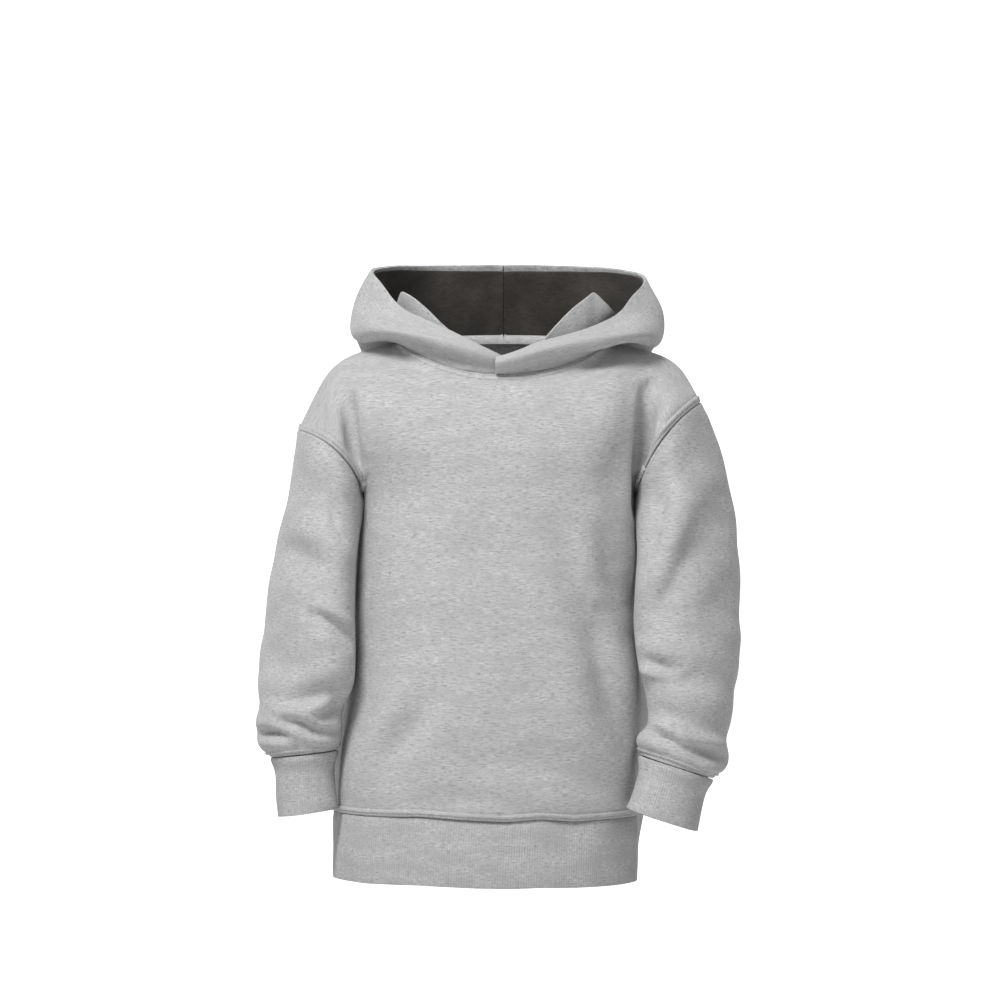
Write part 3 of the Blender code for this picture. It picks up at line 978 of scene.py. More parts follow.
def place_on_frame(piece: bpy.types.Object, node: str,
                   trims: tuple[bpy.types.Object, ...] = ()) -> None:
    """Tie a piece of cloth to the frame and hide the solid that it stands for.

    Args:
        piece: The piece.
        node: The solid that it stands for.
        trims: Pieces that lie on it, such as its stitching.
    """
    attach(piece, "root")
    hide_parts(node)
    for trim in trims:
        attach(trim, "root")


@dataclass(frozen=True)
class HemLine:
    """How the waistband seam and the hem dip and lift across the front and back, in mm."""

    xs: tuple[float, ...] = (-125, -100, -60, -20, 5, 30, 55, 85, 110)
    front_seam: tuple[float, ...] = (1.2, 0.4, 0.9, -1.6, -2.6, -0.8, -2.8, -1.8, -1.0)
    back_seam: tuple[float, ...] = (-0.6, 0.8, -0.9, 0.5, -0.4, 0.9, -0.6, 0.4, -0.5)
    front_hem: tuple[float, ...] = (3.2, 1.5, 1.4, -0.2, -1.0, -0.3, -0.6, -0.4, 0.6)
    back_hem: tuple[float, ...] = (0.8, -0.3, 0.7, -0.4, 0.5, -0.3, 0.4, -0.3, 0.4)
    body_reach: float = 75.0
    side_depth: float = 45.0

    def settled(self, points: np.ndarray) -> np.ndarray:
        """Shift points up or down with the seam and hem, fading out up the body.

        Args:
            points: Points of the body or the waistband, in mm.

        Returns:
            The shifted points.
        """
        x, y, z = np.moveaxis(points, -1, 0)
        toward_back = eased(y, -self.side_depth, self.side_depth)
        seam, hem = ((1 - toward_back) * np.interp(x, self.xs, front)
                     + toward_back * np.interp(x, self.xs, back)
                     for front, back in ((self.front_seam, self.back_seam), (self.front_hem, self.back_hem)))
        above = 1 - eased(z, BAND_TOP_Z, BAND_TOP_Z + self.body_reach)
        below = eased(z, TORSO[0].z, BAND_TOP_Z)
        shift = np.where(z >= BAND_TOP_Z, seam * above, seam * below + hem * (1 - below))
        settled = points.copy()
        settled[..., 2] += shift
        return settled


HEM = HemLine()


@dataclass
class Body:
    """Front and back panels, cut on one block, which meet at the side and shoulder seams."""

    fleece: bpy.types.Material
    thread: bpy.types.Material
    neck: NeckSeam
    thickness: float = 2.0
    seam_gap: float = 0.35
    neck_share: tuple[float, float] = (0.3, 0.7)
    armpit_share: float = 8 / 11
    armpit_row: int = 8
    turn_a_row: float = 60
    blend: float = 22.0
    step: float = 2.3
    fine_step: float = 0.75
    fine_reach: float = 9.0
    fold_scale: float = 3.0
    shoulder_y: float = -1
    shoulder: dict[str, tuple[float, float, float]] = field(default_factory=lambda: {
        "right arm": (-139.5, -1, -35.5),
        "right shoulder": (-119, -1, -10),
        "left arm": (143, -1, -25.5),
        "left shoulder": (125, -1, -8),
    })
    front_guides: tuple[PanelGuide, ...] = (
        PanelGuide(9, (-108, -47, -88), (-126, -49, -58), "right arm"),
        PanelGuide(26, (-103.5, -43, -82), (-114, -43, -44), "right shoulder"),
        PanelGuide(48, (-82, -67, -74), (-86, -52, -30), "neck 90"),
        PanelGuide(68, (-44, -78, -78), (-48, -67, -44), "neck 42"),
        PanelGuide(90, (1, -80, -80), (2, -71, -50), "neck 0"),
        PanelGuide(112, (46, -78, -78), (53, -67, -43), "neck -42"),
        PanelGuide(132, (82, -66, -72), (91, -51, -27), "neck -90"),
        PanelGuide(154, (103.5, -38, -78), (113, -38, -37), "left shoulder"),
        PanelGuide(171, (108.5, -46, -84), (127, -48, -45), "left arm"),
    )
    back_guides: tuple[PanelGuide, ...] = (
        PanelGuide(9, (-108, 46, -88), (-126, 46, -58), "right arm"),
        PanelGuide(26, (-103.5, 44, -82), (-114, 41, -46), "right shoulder"),
        PanelGuide(48, (-82, 68, -72), (-86, 48, -28), "neck 90"),
        PanelGuide(68, (-44, 77, -72), (-48, 62, -29), "neck 138"),
        PanelGuide(90, (1, 80, -72), (2, 66, -26), "neck 180"),
        PanelGuide(112, (46, 77, -72), (53, 62, -28), "neck -138"),
        PanelGuide(132, (82, 67, -71), (91, 48, -26), "neck -90"),
        PanelGuide(154, (103.5, 42, -80), (113, 39, -41), "left shoulder"),
        PanelGuide(171, (108.5, 45, -85), (127, 45, -47), "left arm"),
    )
    front_folds: tuple[Fold, ...] = (
        # The deep crease beside the wearer's left arm, and the softer one beside the right
        Fold(Elevation.FRONT, ((110, -34), (106, -62), (103, -92), (103, -124)), 6, 2.6, lean=0.3),
        Fold(Elevation.FRONT, ((-117, -36), (-111, -58), (-108, -88)), 6, 2.2),
        Fold(Elevation.FRONT, ((-104, -30), (-103, -58), (-101, -84), (-101, -120)), 6, -1.2, bank=0),
        Fold(Elevation.FRONT, ((92, -60), (93, -100), (92, -150)), 8, -1.0, bank=0),
        # Upright troughs on the wearer's left
        Fold(Elevation.FRONT, ((77, -140), (84, -170), (92, -192)), 9, 1.5),
        Fold(Elevation.FRONT, ((70, -205), (80, -250), (93, -292)), 10, 2.2, lean=-0.25),
        Fold(Elevation.FRONT, ((46, -110), (54, -160), (58, -215)), 14, 0.9),
        # The light slanting ridge low on the wearer's right, with its trough
        Fold(Elevation.FRONT, ((-112, -334), (-88, -285), (-60, -228)), 12, -1.9, bank=0.2),
        Fold(Elevation.FRONT, ((-90, -312), (-70, -290), (-50, -262)), 9, 1.3),
        Fold(Elevation.FRONT, ((-60, -345), (-20, -338), (30, -344)), 10, 0.8),
        Fold(Elevation.FRONT, ((-30, -320), (20, -312), (78, -330)), 12, 0.9),
        Fold(Elevation.FRONT, ((-58, -150), (-10, -158), (40, -146)), 15, 0.7),
    )
    back_folds: tuple[Fold, ...] = (
        Fold(Elevation.WEARER_RIGHT, ((10, -96), (12, -114), (14, -140)), 9, -0.8, bank=0),
        Fold(Elevation.WEARER_LEFT, ((10, -96), (12, -114), (14, -140)), 9, -0.6, bank=0),
        Fold(Elevation.BACK, ((110, -58), (102, -88), (97, -128)), 8, 2.4, lean=0.3),
        Fold(Elevation.BACK, ((-114, -60), (-104, -92), (-98, -132)), 8, 2.3, lean=-0.3),
        Fold(Elevation.BACK, ((66, -180), (80, -240), (88, -300)), 11, 1.9),
        Fold(Elevation.BACK, ((-84, -200), (-92, -260), (-100, -315)), 11, 2.0),
        Fold(Elevation.BACK, ((-40, -140), (-58, -190), (-66, -250)), 14, 1.1),
        Fold(Elevation.BACK, ((30, -250), (5, -290), (-34, -318)), 13, 1.5),
        Fold(Elevation.BACK, ((-70, -338), (-10, -330), (60, -340)), 10, 1.0),
        Fold(Elevation.BACK, ((-34, -58), (0, -72), (40, -60)), 13, 1.1),
    )

    def net(self, front: bool) -> np.ndarray:
        """Work out the net of a panel, from the waistband seam up to the shoulder and neck seams.

        Args:
            front: Whether it is the front panel.

        Returns:
            The net, as rows by columns by three.
        """
        guides = self.front_guides if front else self.back_guides
        turns = [0] + [guide.turn for guide in guides] + [180]
        if not front:
            turns = [0.0] + [360 - turn for turn in turns[1:-1]] + [180.0]
        rows = [[section.point(turn) for turn in turns] for section in TORSO if section.z >= BAND_TOP_Z]
        for row in rows:
            row[0][1] = row[-1][1] = 0
        tops = [self.neck.point(float(guide.top.split()[1])) if guide.top.startswith("neck")
                else np.array(self.shoulder[guide.top], float) for guide in guides]
        levels = ([np.array(guide.low, float) for guide in guides],
                  [np.array(guide.high, float) for guide in guides], tops)
        for level, share in zip(levels, (60, 120, 180)):
            turn = share if front else 360 - share
            rows.append([RIGHT_ARMHOLE.point(turn)] + level + [LEFT_ARMHOLE.point(turn)])
        net = np.array(rows)
        net[0, :, 2] += self.seam_gap
        net[:, :, 1] += self.side_y(front)
        return net

    def side_y(self, front: bool) -> float:
        """Place of a panel's edge at the side seams."""
        return -self.seam_gap / 2 if front else self.seam_gap / 2

    def face(self, front: bool) -> tuple[ClothFace, np.ndarray, np.ndarray]:
        """Work out a panel's smooth face, its edges brought onto the seam lines.

        Args:
            front: Whether it is the front panel.

        Returns:
            The face, and its rows' and columns' shares of the way through the net.
        """
        net = self.net(front)
        rows = even_places(net, 0, self.step, self.fine_step, self.fine_reach, self.fine_reach)
        columns = even_places(net, 1, self.step, self.fine_step, self.fine_reach, self.fine_reach)
        face = ClothFace.through(net, rows, columns, flip=not front)
        points = face.points
        side_seam = rows <= self.armpit_share
        turns = self.turn_a_row * (rows[~side_seam] * (len(net) - 1) - self.armpit_row)
        sides = ((Edge.FIRST_SIDE, 0, RIGHT_ARMHOLE, RIGHT), (Edge.LAST_SIDE, -1, LEFT_ARMHOLE, LEFT))
        for edge, column, armhole, _ in sides:
            wanted = points[:, column].copy()
            wanted[side_seam, 1] = self.side_y(front)
            wanted[~side_seam] = [armhole.point(turn if front else 360 - turn) for turn in turns]
            wanted[~side_seam, 1] += self.side_y(front)
            away = face.from_edge(edge)[:, :, None]
            points += (wanted - points[:, column])[:, None] * (1 - eased(away, 0, self.blend))
        for _, column, armhole, side in sides:
            shares = columns if column == 0 else 1 - columns
            on_seam = shares <= self.neck_share[0]
            name = SIDE_NAMES[side]
            line = np.array([armhole.point(180), self.shoulder[name + " arm"],
                             self.shoulder[name + " shoulder"], self.neck.point(-90 * side)])
            wanted = spline(line, shares[on_seam] * (len(net[0]) - 1))
            wanted[:, 1] = self.shoulder_y + self.side_y(front)
            away = face.from_edge(Edge.TOP)[:, on_seam, None]
            points[:, on_seam] += (wanted - points[-1, on_seam])[None] * (1 - eased(away, 0, self.blend))
        on_neck = (columns > self.neck_share[0]) & (columns < self.neck_share[1])
        wanted = self.neck.nearest(points[-1, on_neck])
        away = face.from_edge(Edge.TOP)[:, on_neck, None]
        points[:, on_neck] += (wanted - points[-1, on_neck])[None] * (1 - eased(away, 0, self.blend))
        return face, rows, columns

    def build(self) -> None:
        """Build and dress both panels with their topstitching."""
        for name, front, seed in (("front", True, 11), ("back", False, 12)):
            smooth, rows, columns = self.face(front)
            smooth.points = HEM.settled(smooth.points)
            normals = smooth.normals()
            folds = self.front_folds if front else self.back_folds
            calm = eased(smooth.from_edge(Edge.BOTTOM), 0, 16) * eased(smooth.from_edge(Edge.TOP), 0, 12)
            calm *= eased(smooth.from_edge(Edge.FIRST_SIDE), 0, 10)
            calm *= eased(smooth.from_edge(Edge.LAST_SIDE), 0, 10)
            offsets = Undulation(seed).offsets(smooth) * calm
            creases = self.fold_scale * sum(fold.offsets(smooth, normals) for fold in folds)
            offsets += creases * (0.25 + 0.75 * calm)
            bottom = SewnEdge(Edge.BOTTOM)
            neck = SewnEdge(Edge.TOP, stitch_lines=(2.2, 6.6), allowance=8.5)
            arms = [SewnEdge(Edge.FIRST_SIDE), SewnEdge(Edge.LAST_SIDE)]
            above_armpit = eased(rows, self.armpit_share - 0.01, self.armpit_share + 0.03)[:, None]
            low, high = self.neck_share
            on_neck = eased(columns, low - 0.02, low + 0.02) * (1 - eased(columns, high - 0.02, high + 0.02))
            offsets += bottom.offsets(smooth) + neck.offsets(smooth) * on_neck[None]
            offsets += sum(arm.offsets(smooth) for arm in arms) * above_armpit
            face = smooth.moved_out(offsets)
            thread = Topstitching()
            bars = []
            for distance in bottom.stitch_lines:
                bars += thread.bars(*face.line_beside(Edge.BOTTOM, distance))
            neck_columns = np.flatnonzero((columns > low) & (columns < high))
            for distance in neck.stitch_lines:
                line, facing = face.line_beside(Edge.TOP, distance)
                bars += thread.bars(line[neck_columns], facing[neck_columns])
            arm_rows = np.flatnonzero(rows > self.armpit_share)
            for arm in arms:
                for distance in arm.stitch_lines:
                    line, facing = face.line_beside(arm.edge, distance)
                    bars += thread.bars(line[arm_rows], facing[arm_rows])
            piece = face.build(name + "_panel", self.thickness, self.fleece, rim=0.5)
            stitching = thread.build(name + "_topstitching", bars, self.thread)
            place_on_frame(piece, name, trims=(stitching,))


@dataclass
class Waistband:
    """The waistband: one ring of rib knit folded along the hem."""

    rib: bpy.types.Material
    thickness: float = 2.4
    wale: float = HeatherRib.wale_mm
    wale_relief: float = 0.15
    columns_a_wale: int = 4
    step: float = 4.0
    net_points: int = 24

    def build(self) -> None:
        """Build and dress the waistband."""
        turns = 360 * np.arange(self.net_points) / self.net_points
        net = np.array([[section.point(turn) for turn in turns] for section in TORSO
                        if section.z <= BAND_TOP_Z])
        shares, wales = wale_places(net, self.wale, self.columns_a_wale)
        rows = np.linspace(0, 1, int(51 / self.step) + 1)
        smooth = ClothFace.through(net, rows, shares, closed=True)
        smooth.points = HEM.settled(smooth.points)
        folds = (
            Fold(Elevation.FRONT, ((-90, -352), (-86, -372), (-88, -396)), 12, 0.9),
            Fold(Elevation.FRONT, ((48, -352), (44, -375), (46, -398)), 14, 0.8),
            Fold(Elevation.FRONT, ((-20, -360), (-16, -380), (-18, -402)), 16, -0.7),
            Fold(Elevation.BACK, ((-60, -352), (-56, -376), (-60, -400)), 14, 1.0),
            Fold(Elevation.BACK, ((52, -352), (48, -376), (50, -400)), 15, 0.9),
        )
        normals = smooth.normals()
        offsets = Undulation(21, depth=0.45).offsets(smooth)
        offsets += sum(fold.offsets(smooth, normals) for fold in folds)
        offsets += wale_height(smooth, wales, self.wale_relief)
        away = smooth.from_edge(Edge.TOP)
        offsets -= 0.5 * np.exp(-(away / 1.2) ** 2)
        face = smooth.moved_out(offsets)
        face.across_scale = smooth.across_scale = self.wale * wales / ring_length(smooth)
        face = face.with_allowance(Edge.TOP, smooth, drop=1.8, reach=4.5)
        piece = face.build("waistband_rib", self.thickness, self.rib, rim=0.9)
        place_on_frame(piece, "waistband")


def ring_length(face: ClothFace) -> float:
    """Length round the middle row of a tube, in mm."""
    middle = face.points[len(face.points) // 2]
    return float(np.linalg.norm(middle - np.roll(middle, 1, axis=0), axis=1).sum())


def wale_places(net: np.ndarray, wale: float, columns_a_wale: int) -> tuple[np.ndarray, int]:
    """Space the columns of a rib tube so that a whole number of wales goes round it.

    Args:
        net: The tube's net.
        wale: Distance between wales, in mm.
        columns_a_wale: Columns that draw one wale.

    Returns:
        Each column's share of the way round, and the number of wales.
    """
    fine = np.arange(720) / 720
    ring = closed_spline(net[len(net) // 2], fine * len(net[0]))
    run = np.concatenate([[0], np.cumsum(np.linalg.norm(np.roll(ring, -1, axis=0) - ring, axis=1))])
    wales = int(round(run[-1] / wale))
    count = wales * columns_a_wale
    return np.interp(np.arange(count) * run[-1] / count, run, np.append(fine, 1.0)), wales


def wale_height(face: ClothFace, wales: int, relief: float) -> np.ndarray:
    """Height of a rib knit's wales over its valleys, as a column of offsets for each column."""
    columns = face.points.shape[1]
    return relief * np.cos(2 * math.pi * wales * np.arange(columns) / columns)[None, :]


@dataclass
class Sleeve:
    """One sleeve, a tube from its dropped armhole to the cuff seam, and the folds of a bent arm."""

    side: int
    fleece: bpy.types.Material
    thread: bpy.types.Material
    sections: tuple[TubeSection, ...]
    folds: tuple[Fold, ...]
    seed: int
    thickness: float = 2.0
    armhole_gap: float = 0.25
    step: float = 2.0
    fine_step: float = 0.8
    columns: int = 156
    fold_scale: float = 3.0

    def net(self) -> np.ndarray:
        """Work out the net, from just outside the armhole seam to the cuff seam.

        Returns:
            The net, as rows by points by three.
        """
        armhole = ARMHOLES[self.side]
        rings = [section.ring() for section in self.sections]
        turns = np.arange(len(rings[0])) * 360 / len(rings[0])
        start = np.array([armhole.point(turn) for turn in turns])
        away = rings[0] - start
        start += away / np.linalg.norm(away, axis=1)[:, None] * self.armhole_gap
        start[:, 0] += self.side * self.armhole_gap
        return np.array([start] + rings)

    def build(self) -> None:
        """Build and dress the sleeve with its topstitching above the cuff."""
        side = SIDE_NAMES[self.side]
        net = self.net()
        rows = even_places(net, 0, self.step, self.fine_step, 6, 8)
        smooth = ClothFace.through(net, rows, np.arange(self.columns) / self.columns, closed=True,
                                   flip=self.side == LEFT)
        smooth.level = True
        normals = smooth.normals()
        armhole = SewnEdge(Edge.BOTTOM, stitch_lines=(), allowance=4, lift=0.2, tuck=0.6)
        cuff = SewnEdge(Edge.TOP, stitch_lines=(3.4, 7.0), allowance=8.4, lift=1.0)
        calm = eased(smooth.from_edge(Edge.BOTTOM), 0, 14) * eased(smooth.from_edge(Edge.TOP), 0, 10)
        offsets = Undulation(self.seed, depth=0.4).offsets(smooth) * calm
        offsets += self.fold_scale * sum(fold.offsets(smooth, normals) for fold in self.folds) * calm
        offsets += armhole.offsets(smooth) + cuff.offsets(smooth)
        face = smooth.moved_out(offsets)
        thread = Topstitching()
        bars = []
        for distance in cuff.stitch_lines:
            bars += thread.bars(*face.line_beside(Edge.TOP, distance), closed=True)
        face = face.with_allowance(Edge.BOTTOM, smooth, drop=1.7, reach=2.6)
        piece = face.build("sleeve_" + side + "_fleece", self.thickness, self.fleece, rim=0.5)
        stitching = thread.build("sleeve_" + side + "_topstitching", bars, self.thread)
        place_on_frame(piece, "sleeve_" + side, trims=(stitching,))


@dataclass
class Cuff:
    """One rib cuff, a ring folded along its wrist edge."""

    side: int
    rib: bpy.types.Material
    sections: tuple[TubeSection, ...]
    seed: int
    thickness: float = 2.4
    wale: float = HeatherRib.wale_mm
    wale_relief: float = 0.12
    columns_a_wale: int = 4
    rows: int = 18
    flare: float = 3.2
    flare_reach: float = 8.0

    def build(self) -> None:
        """Build and dress the cuff."""
        side = SIDE_NAMES[self.side]
        net = np.array([section.ring() for section in self.sections])
        shares, wales = wale_places(net, self.wale, self.columns_a_wale)
        smooth = ClothFace.through(net, np.linspace(0, 1, self.rows + 1), shares, closed=True,
                                   flip=self.side == LEFT)
        offsets = Undulation(self.seed, depth=0.4, shortest=20, longest=60).offsets(smooth)
        offsets += wale_height(smooth, wales, self.wale_relief)
        away = smooth.from_edge(Edge.BOTTOM)
        offsets += self.flare * np.exp(-(away / self.flare_reach) ** 2) - 0.5 * np.exp(-(away / 1.2) ** 2)
        face = smooth.moved_out(offsets)
        face.across_scale = smooth.across_scale = self.wale * wales / ring_length(smooth)
        face = face.with_allowance(Edge.BOTTOM, smooth, drop=1.6, reach=4.0)
        piece = face.build("cuff_" + side + "_rib", self.thickness, self.rib, rim=0.9)
        place_on_frame(piece, "cuff_" + side)


@dataclass
class HoodHalf:
    """One half of the hood, lying back as a roll, with its lining and the inner ply at the neck."""

    side: int
    fleece: bpy.types.Material
    jersey: bpy.types.Material
    neck: NeckSeam
    sections: tuple[HoodSection, ...]
    facing: tuple[tuple[float, float, float], ...]
    folds: tuple[Fold, ...]
    crossing_step: float
    seed: int
    thickness: float = 2.6
    lining_thickness: float = 1.2
    facing_thickness: float = 1.6
    clearance: float = 0.5
    seam_gap: float = 0.04
    lining_gap: float = 0.02
    wall_swell: float = 4.0
    full_height: float = 30.0
    neck_lift: float = 0.9
    neck_step: float = 0.8
    sewn_lift: float = -0.5
    sewn_step: float = 0.2
    sewn_reach: float = 20
    allowance: tuple[tuple[float, float], ...] = ((-2.8, -5.0), (-2.7, -2.5), (-2.3, -0.8))
    front_share: float = 0.15
    lining_start: float = 0.13
    lining_foot: float = 4.5
    lining_drop: float = 1.0
    facing_inset: float = 3.0
    facing_foot_lift: float = 2.5
    step: float = 2.0

    def net(self) -> np.ndarray:
        """Work out the net: from the neck seam under the roll, round its fold, and up to the rim.

        Returns:
            The net, as sections by points by three.
        """
        net = []
        for index, section in enumerate(self.sections):
            turn = math.radians(section.angle)
            out = np.array([self.side * math.sin(turn), -math.cos(turn), 0])
            height = min((section.rim[1] - section.belly[1]) / self.full_height, 1)
            wall = ((section.belly[0] + section.rim[0]) / 2 + self.wall_swell * height,
                    (section.belly[1] + section.rim[1]) / 2)
            step = self.crossing_step if index == 0 else self.neck_step
            seam = self.neck.point(-self.side * section.angle)
            line = [seam + out * step + np.array([0, 0, self.neck_lift])]
            for reach, z in (section.under, section.fold, section.belly, wall, section.rim):
                line.append(np.array([self.neck.x, self.neck.y, z]) + out * reach)
            net.append(line)
        net = np.array(net)
        net[-1, :, 0] = self.neck.x + self.side * self.seam_gap / 2
        return net

    def facing_net(self) -> np.ndarray:
        """Work out the inner ply's net, from its foot on the neck seam to its peaked edge.

        Returns:
            The net, as sections by points by three.
        """
        net = []
        for angle, top_z, lean in self.facing:
            foot = self.neck.point(-self.side * angle)
            out = foot - np.array([self.neck.x, self.neck.y, foot[2]])
            out /= np.linalg.norm(out)
            foot = foot - out * self.facing_inset + np.array([0, 0, self.facing_foot_lift])
            top = foot + out * lean
            top[2] = top_z
            net.append([foot, (foot + top) / 2, top])
        return np.array(net)

    def build(self) -> None:
        """Build and dress the shell, the lining and the inner ply."""
        side = SIDE_NAMES[self.side]
        flip = self.side == LEFT
        net = self.net()
        rows = even_places(net, 0, self.step)
        columns = even_places(net, 1, self.step, 0.8, 0, 4)
        smooth = ClothFace.through(net, rows, columns, flip=flip)
        smooth.turned = True
        foot = smooth.points[:, 0]
        sewn = eased(np.array([abs(self.neck.angle_of(place)) for place in foot]), 20, 45)[:, None]
        settled = (self.neck.nearest(foot, self.sewn_step, self.sewn_lift) - foot) * sewn
        away = smooth.from_edge(Edge.FIRST_SIDE)[:, :, None]
        smooth.points += settled[:, None] * (1 - eased(away, 0, self.sewn_reach))
        normals = smooth.normals()
        back = smooth.from_edge(Edge.TOP)
        calm = eased(back, 0, 12) * eased(smooth.from_edge(Edge.FIRST_SIDE), 0, 14)
        offsets = Undulation(self.seed, depth=0.7).offsets(smooth) * calm
        offsets += sum(fold.offsets(smooth, normals) for fold in self.folds) * (0.3 + 0.7 * calm)
        offsets -= 0.7 * np.exp(-(back / 1.2) ** 2)
        face = smooth.moved_out(offsets)
        # The seam allowance turns down inside the neck, so that no light shows between hood and body
        foot = face.points[:, 0]
        turned_in = self.front_share + (1 - self.front_share) * sewn
        lip = [foot + (self.neck.nearest(foot, inward, lift) - foot) * turned_in
               for inward, lift in self.allowance]
        edged = replace(face, points=np.concatenate([np.stack(lip, axis=1), face.points], axis=1))
        shell = edged.build("hood_" + side + "_shell", self.thickness, self.fleece, rim=1.2)
        place_on_frame(shell, "hood_" + side)

        inner = face.moved_out(-(self.thickness + self.clearance))
        inner.points[-1, :, 0] = self.neck.x + self.side * self.lining_gap / 2
        first_row = int(self.lining_start * len(rows))
        from_foot = smooth.lengths()[0].mean(axis=0)
        from_rim = smooth.from_edge(Edge.LAST_SIDE).mean(axis=0)[::-1]
        first = np.searchsorted(columns, np.interp(self.lining_foot, from_foot, columns))
        last = len(columns) - np.searchsorted(from_rim, self.lining_drop)
        inner = ClothFace(inner.points[first_row:, first:last], flip=flip, turned=True)
        # The lining's charcoal colour is painted shade for the deep inside of the hood
        lining = inner.build("hood_" + side + "_lining_jersey", self.lining_thickness, self.jersey, rim=0.4)
        place_on_frame(lining, "hood_lining_" + side)

        net = self.facing_net()
        ply = ClothFace.through(net, even_places(net, 0, self.step), even_places(net, 1, self.step),
                                flip=flip)
        ply.turned = True
        face = ply.moved_out(Undulation(self.seed + 5, depth=0.5, shortest=18, longest=50).offsets(ply))
        piece = face.build("hood_" + side + "_inner_ply", self.facing_thickness, self.fleece, rim=0.6)
        place_on_frame(piece, "hood_facing_" + side)


@dataclass
class Studio:
    """A white paper sweep, a large soft key light from the wearer's right and a weak fill.

    view_middle is the middle of the picture, view_width its width at the front of the cloth, and
    distance how far the camera stands from there, all in metres.
    """

    floor_paper: bpy.types.Material
    wall_paper: bpy.types.Material
    view_middle: tuple[float, float, float] = (-0.006, -0.045, -0.11025)
    view_width: float = 0.738
    distance: float = 4.0
    sensor_mm: float = 36.0
    floor_z: float = -1.2
    sweep: float = 18.0
    wall_y: float = 7.0
    sweep_radius: float = 1.0
    ambient: float = 0.27

    def build(self) -> None:
        """Set up the camera, the sweep, the lights and the colour handling."""
        middle = np.array(self.view_middle)
        camera = bpy.data.cameras.new("camera")
        camera.sensor_width = self.sensor_mm
        camera.lens = self.sensor_mm * self.distance / self.view_width
        camera.clip_end = 50
        holder = bpy.data.objects.new("camera", camera)
        holder.location = middle - np.array([0, self.distance, 0])
        holder.rotation_euler = (math.radians(90), 0, 0)
        bpy.context.scene.collection.objects.link(holder)
        bpy.context.scene.camera = holder
        self.add_sweep()
        self.add_light("key", (-0.95, -2.05, 2.2), 1.0, 82)
        self.add_light("fill", (1.9, -1.9, 0.25), 1.8, 3)
        world = bpy.data.worlds.new("studio")
        world.use_nodes = True
        background = world.node_tree.nodes["Background"]
        background.inputs["Color"].default_value = linear("#FFFFFF")
        background.inputs["Strength"].default_value = self.ambient
        bpy.context.scene.world = world
        bpy.context.scene.view_settings.view_transform = "Standard"

    def add_light(self, name: str, place: tuple[float, float, float], size: float, power: float) -> None:
        """Add a square soft light aimed at the middle of the garment.

        Args:
            name: The light's name.
            place: Where it stands, in metres.
            size: Length of its side, in metres.
            power: Its power, in watts.
        """
        lamp = bpy.data.lights.new(name, "AREA")
        lamp.size = size
        lamp.energy = power
        holder = bpy.data.objects.new(name, lamp)
        holder.location = place
        aim = np.array(self.view_middle) - np.array(place)
        level = math.hypot(aim[0], aim[1])
        holder.rotation_euler = (math.atan2(level, -aim[2]), 0, math.atan2(aim[1], aim[0]) - math.pi / 2)
        bpy.context.scene.collection.objects.link(holder)

    def add_sweep(self) -> None:
        """Lay the floor and the wall behind, joined by a round sweep."""
        radius = self.sweep_radius
        foot_y = self.wall_y - radius
        profile = [(-self.sweep / 2, 0.0), (foot_y, 0.0)]
        for degrees in range(10, 91, 10):
            angle = math.radians(degrees)
            profile.append((foot_y + radius * math.sin(angle), radius - radius * math.cos(angle)))
        profile.append((self.wall_y, self.sweep / 2))
        vertices = [(x, y, self.floor_z + z) for y, z in profile for x in (-self.sweep / 2, self.sweep / 2)]
        faces = [(2 * k, 2 * k + 1, 2 * k + 3, 2 * k + 2) for k in range(len(profile) - 1)]
        mesh = bpy.data.meshes.new("paper_sweep")
        mesh.from_pydata(vertices, [], faces)
        mesh.shade_smooth()
        mesh.materials.append(self.floor_paper)
        mesh.materials.append(self.wall_paper)
        mesh.polygons.foreach_set("material_index", [min(k, 1) for k in range(len(faces))])
        sheet = bpy.data.objects.new("paper_sweep", mesh)
        bpy.context.scene.collection.objects.link(sheet)


RIGHT_SLEEVE = (
    TubeSection(-157, -84, -105.3, -124, -5, 55, -12),
    TubeSection(-162, -118, -106.9, -144, -10, 53, -24),
    TubeSection(-170, -150, -108.2, -166, -15, 51, -27),
    TubeSection(-176.5, -184, -108.3, -192, -20, 49, -26),
    TubeSection(-179.5, -216, -108.6, -217, -24, 47, -25),
    TubeSection(-182, -244, -108.5, -242, -29, 45, -23),
    TubeSection(-183, -264, -110.6, -258, -29, 43, -17),
    TubeSection(-182, -277, -116.5, -271, -30, 41, -12),
    TubeSection(-183.5, -288, -118.8, -281, -30, 39.5, -10),
    TubeSection(-182.5, -297, -118.8, -290, -30, 37, -8),
    TubeSection(-179.5, -303.5, -119.8, -297, -30, 33.5, -6),
    TubeSection(-175.8, -307.3, -122, -301.2, -30, 30, -5),
    TubeSection(-171, -309.3, -124.5, -303.6, -30, 27.2, -4),
)
LEFT_SLEEVE = (
    TubeSection(162, -64, 104.3, -123, -5, 55, -12),
    TubeSection(171, -88, 103.2, -138, -10, 54, -24),
    TubeSection(178.8, -130, 102.8, -160, -17, 51, -25),
    TubeSection(181.5, -174, 100.6, -190, -24, 49, -23),
    TubeSection(182, -206, 99.6, -210, -28, 47, -20),
    TubeSection(180.5, -236, 102.3, -233, -33, 45, -17),
    TubeSection(177.5, -260, 107.2, -255, -38, 43, -12),
    TubeSection(174, -279, 109.5, -272, -43, 41, -9),
    TubeSection(171.5, -293, 109, -284, -46, 39, -7),
    TubeSection(170.8, -302, 103.5, -290.5, -48, 37, -6),
    TubeSection(170.8, -311, 101.6, -296.5, -49, 34, -5),
    TubeSection(168.5, -317.5, 103, -301.5, -49.5, 31, -4),
    TubeSection(163, -322, 105, -305, -50, 29, -4),
    TubeSection(158.2, -324.3, 106, -307, -50, 27.5, -4),
)
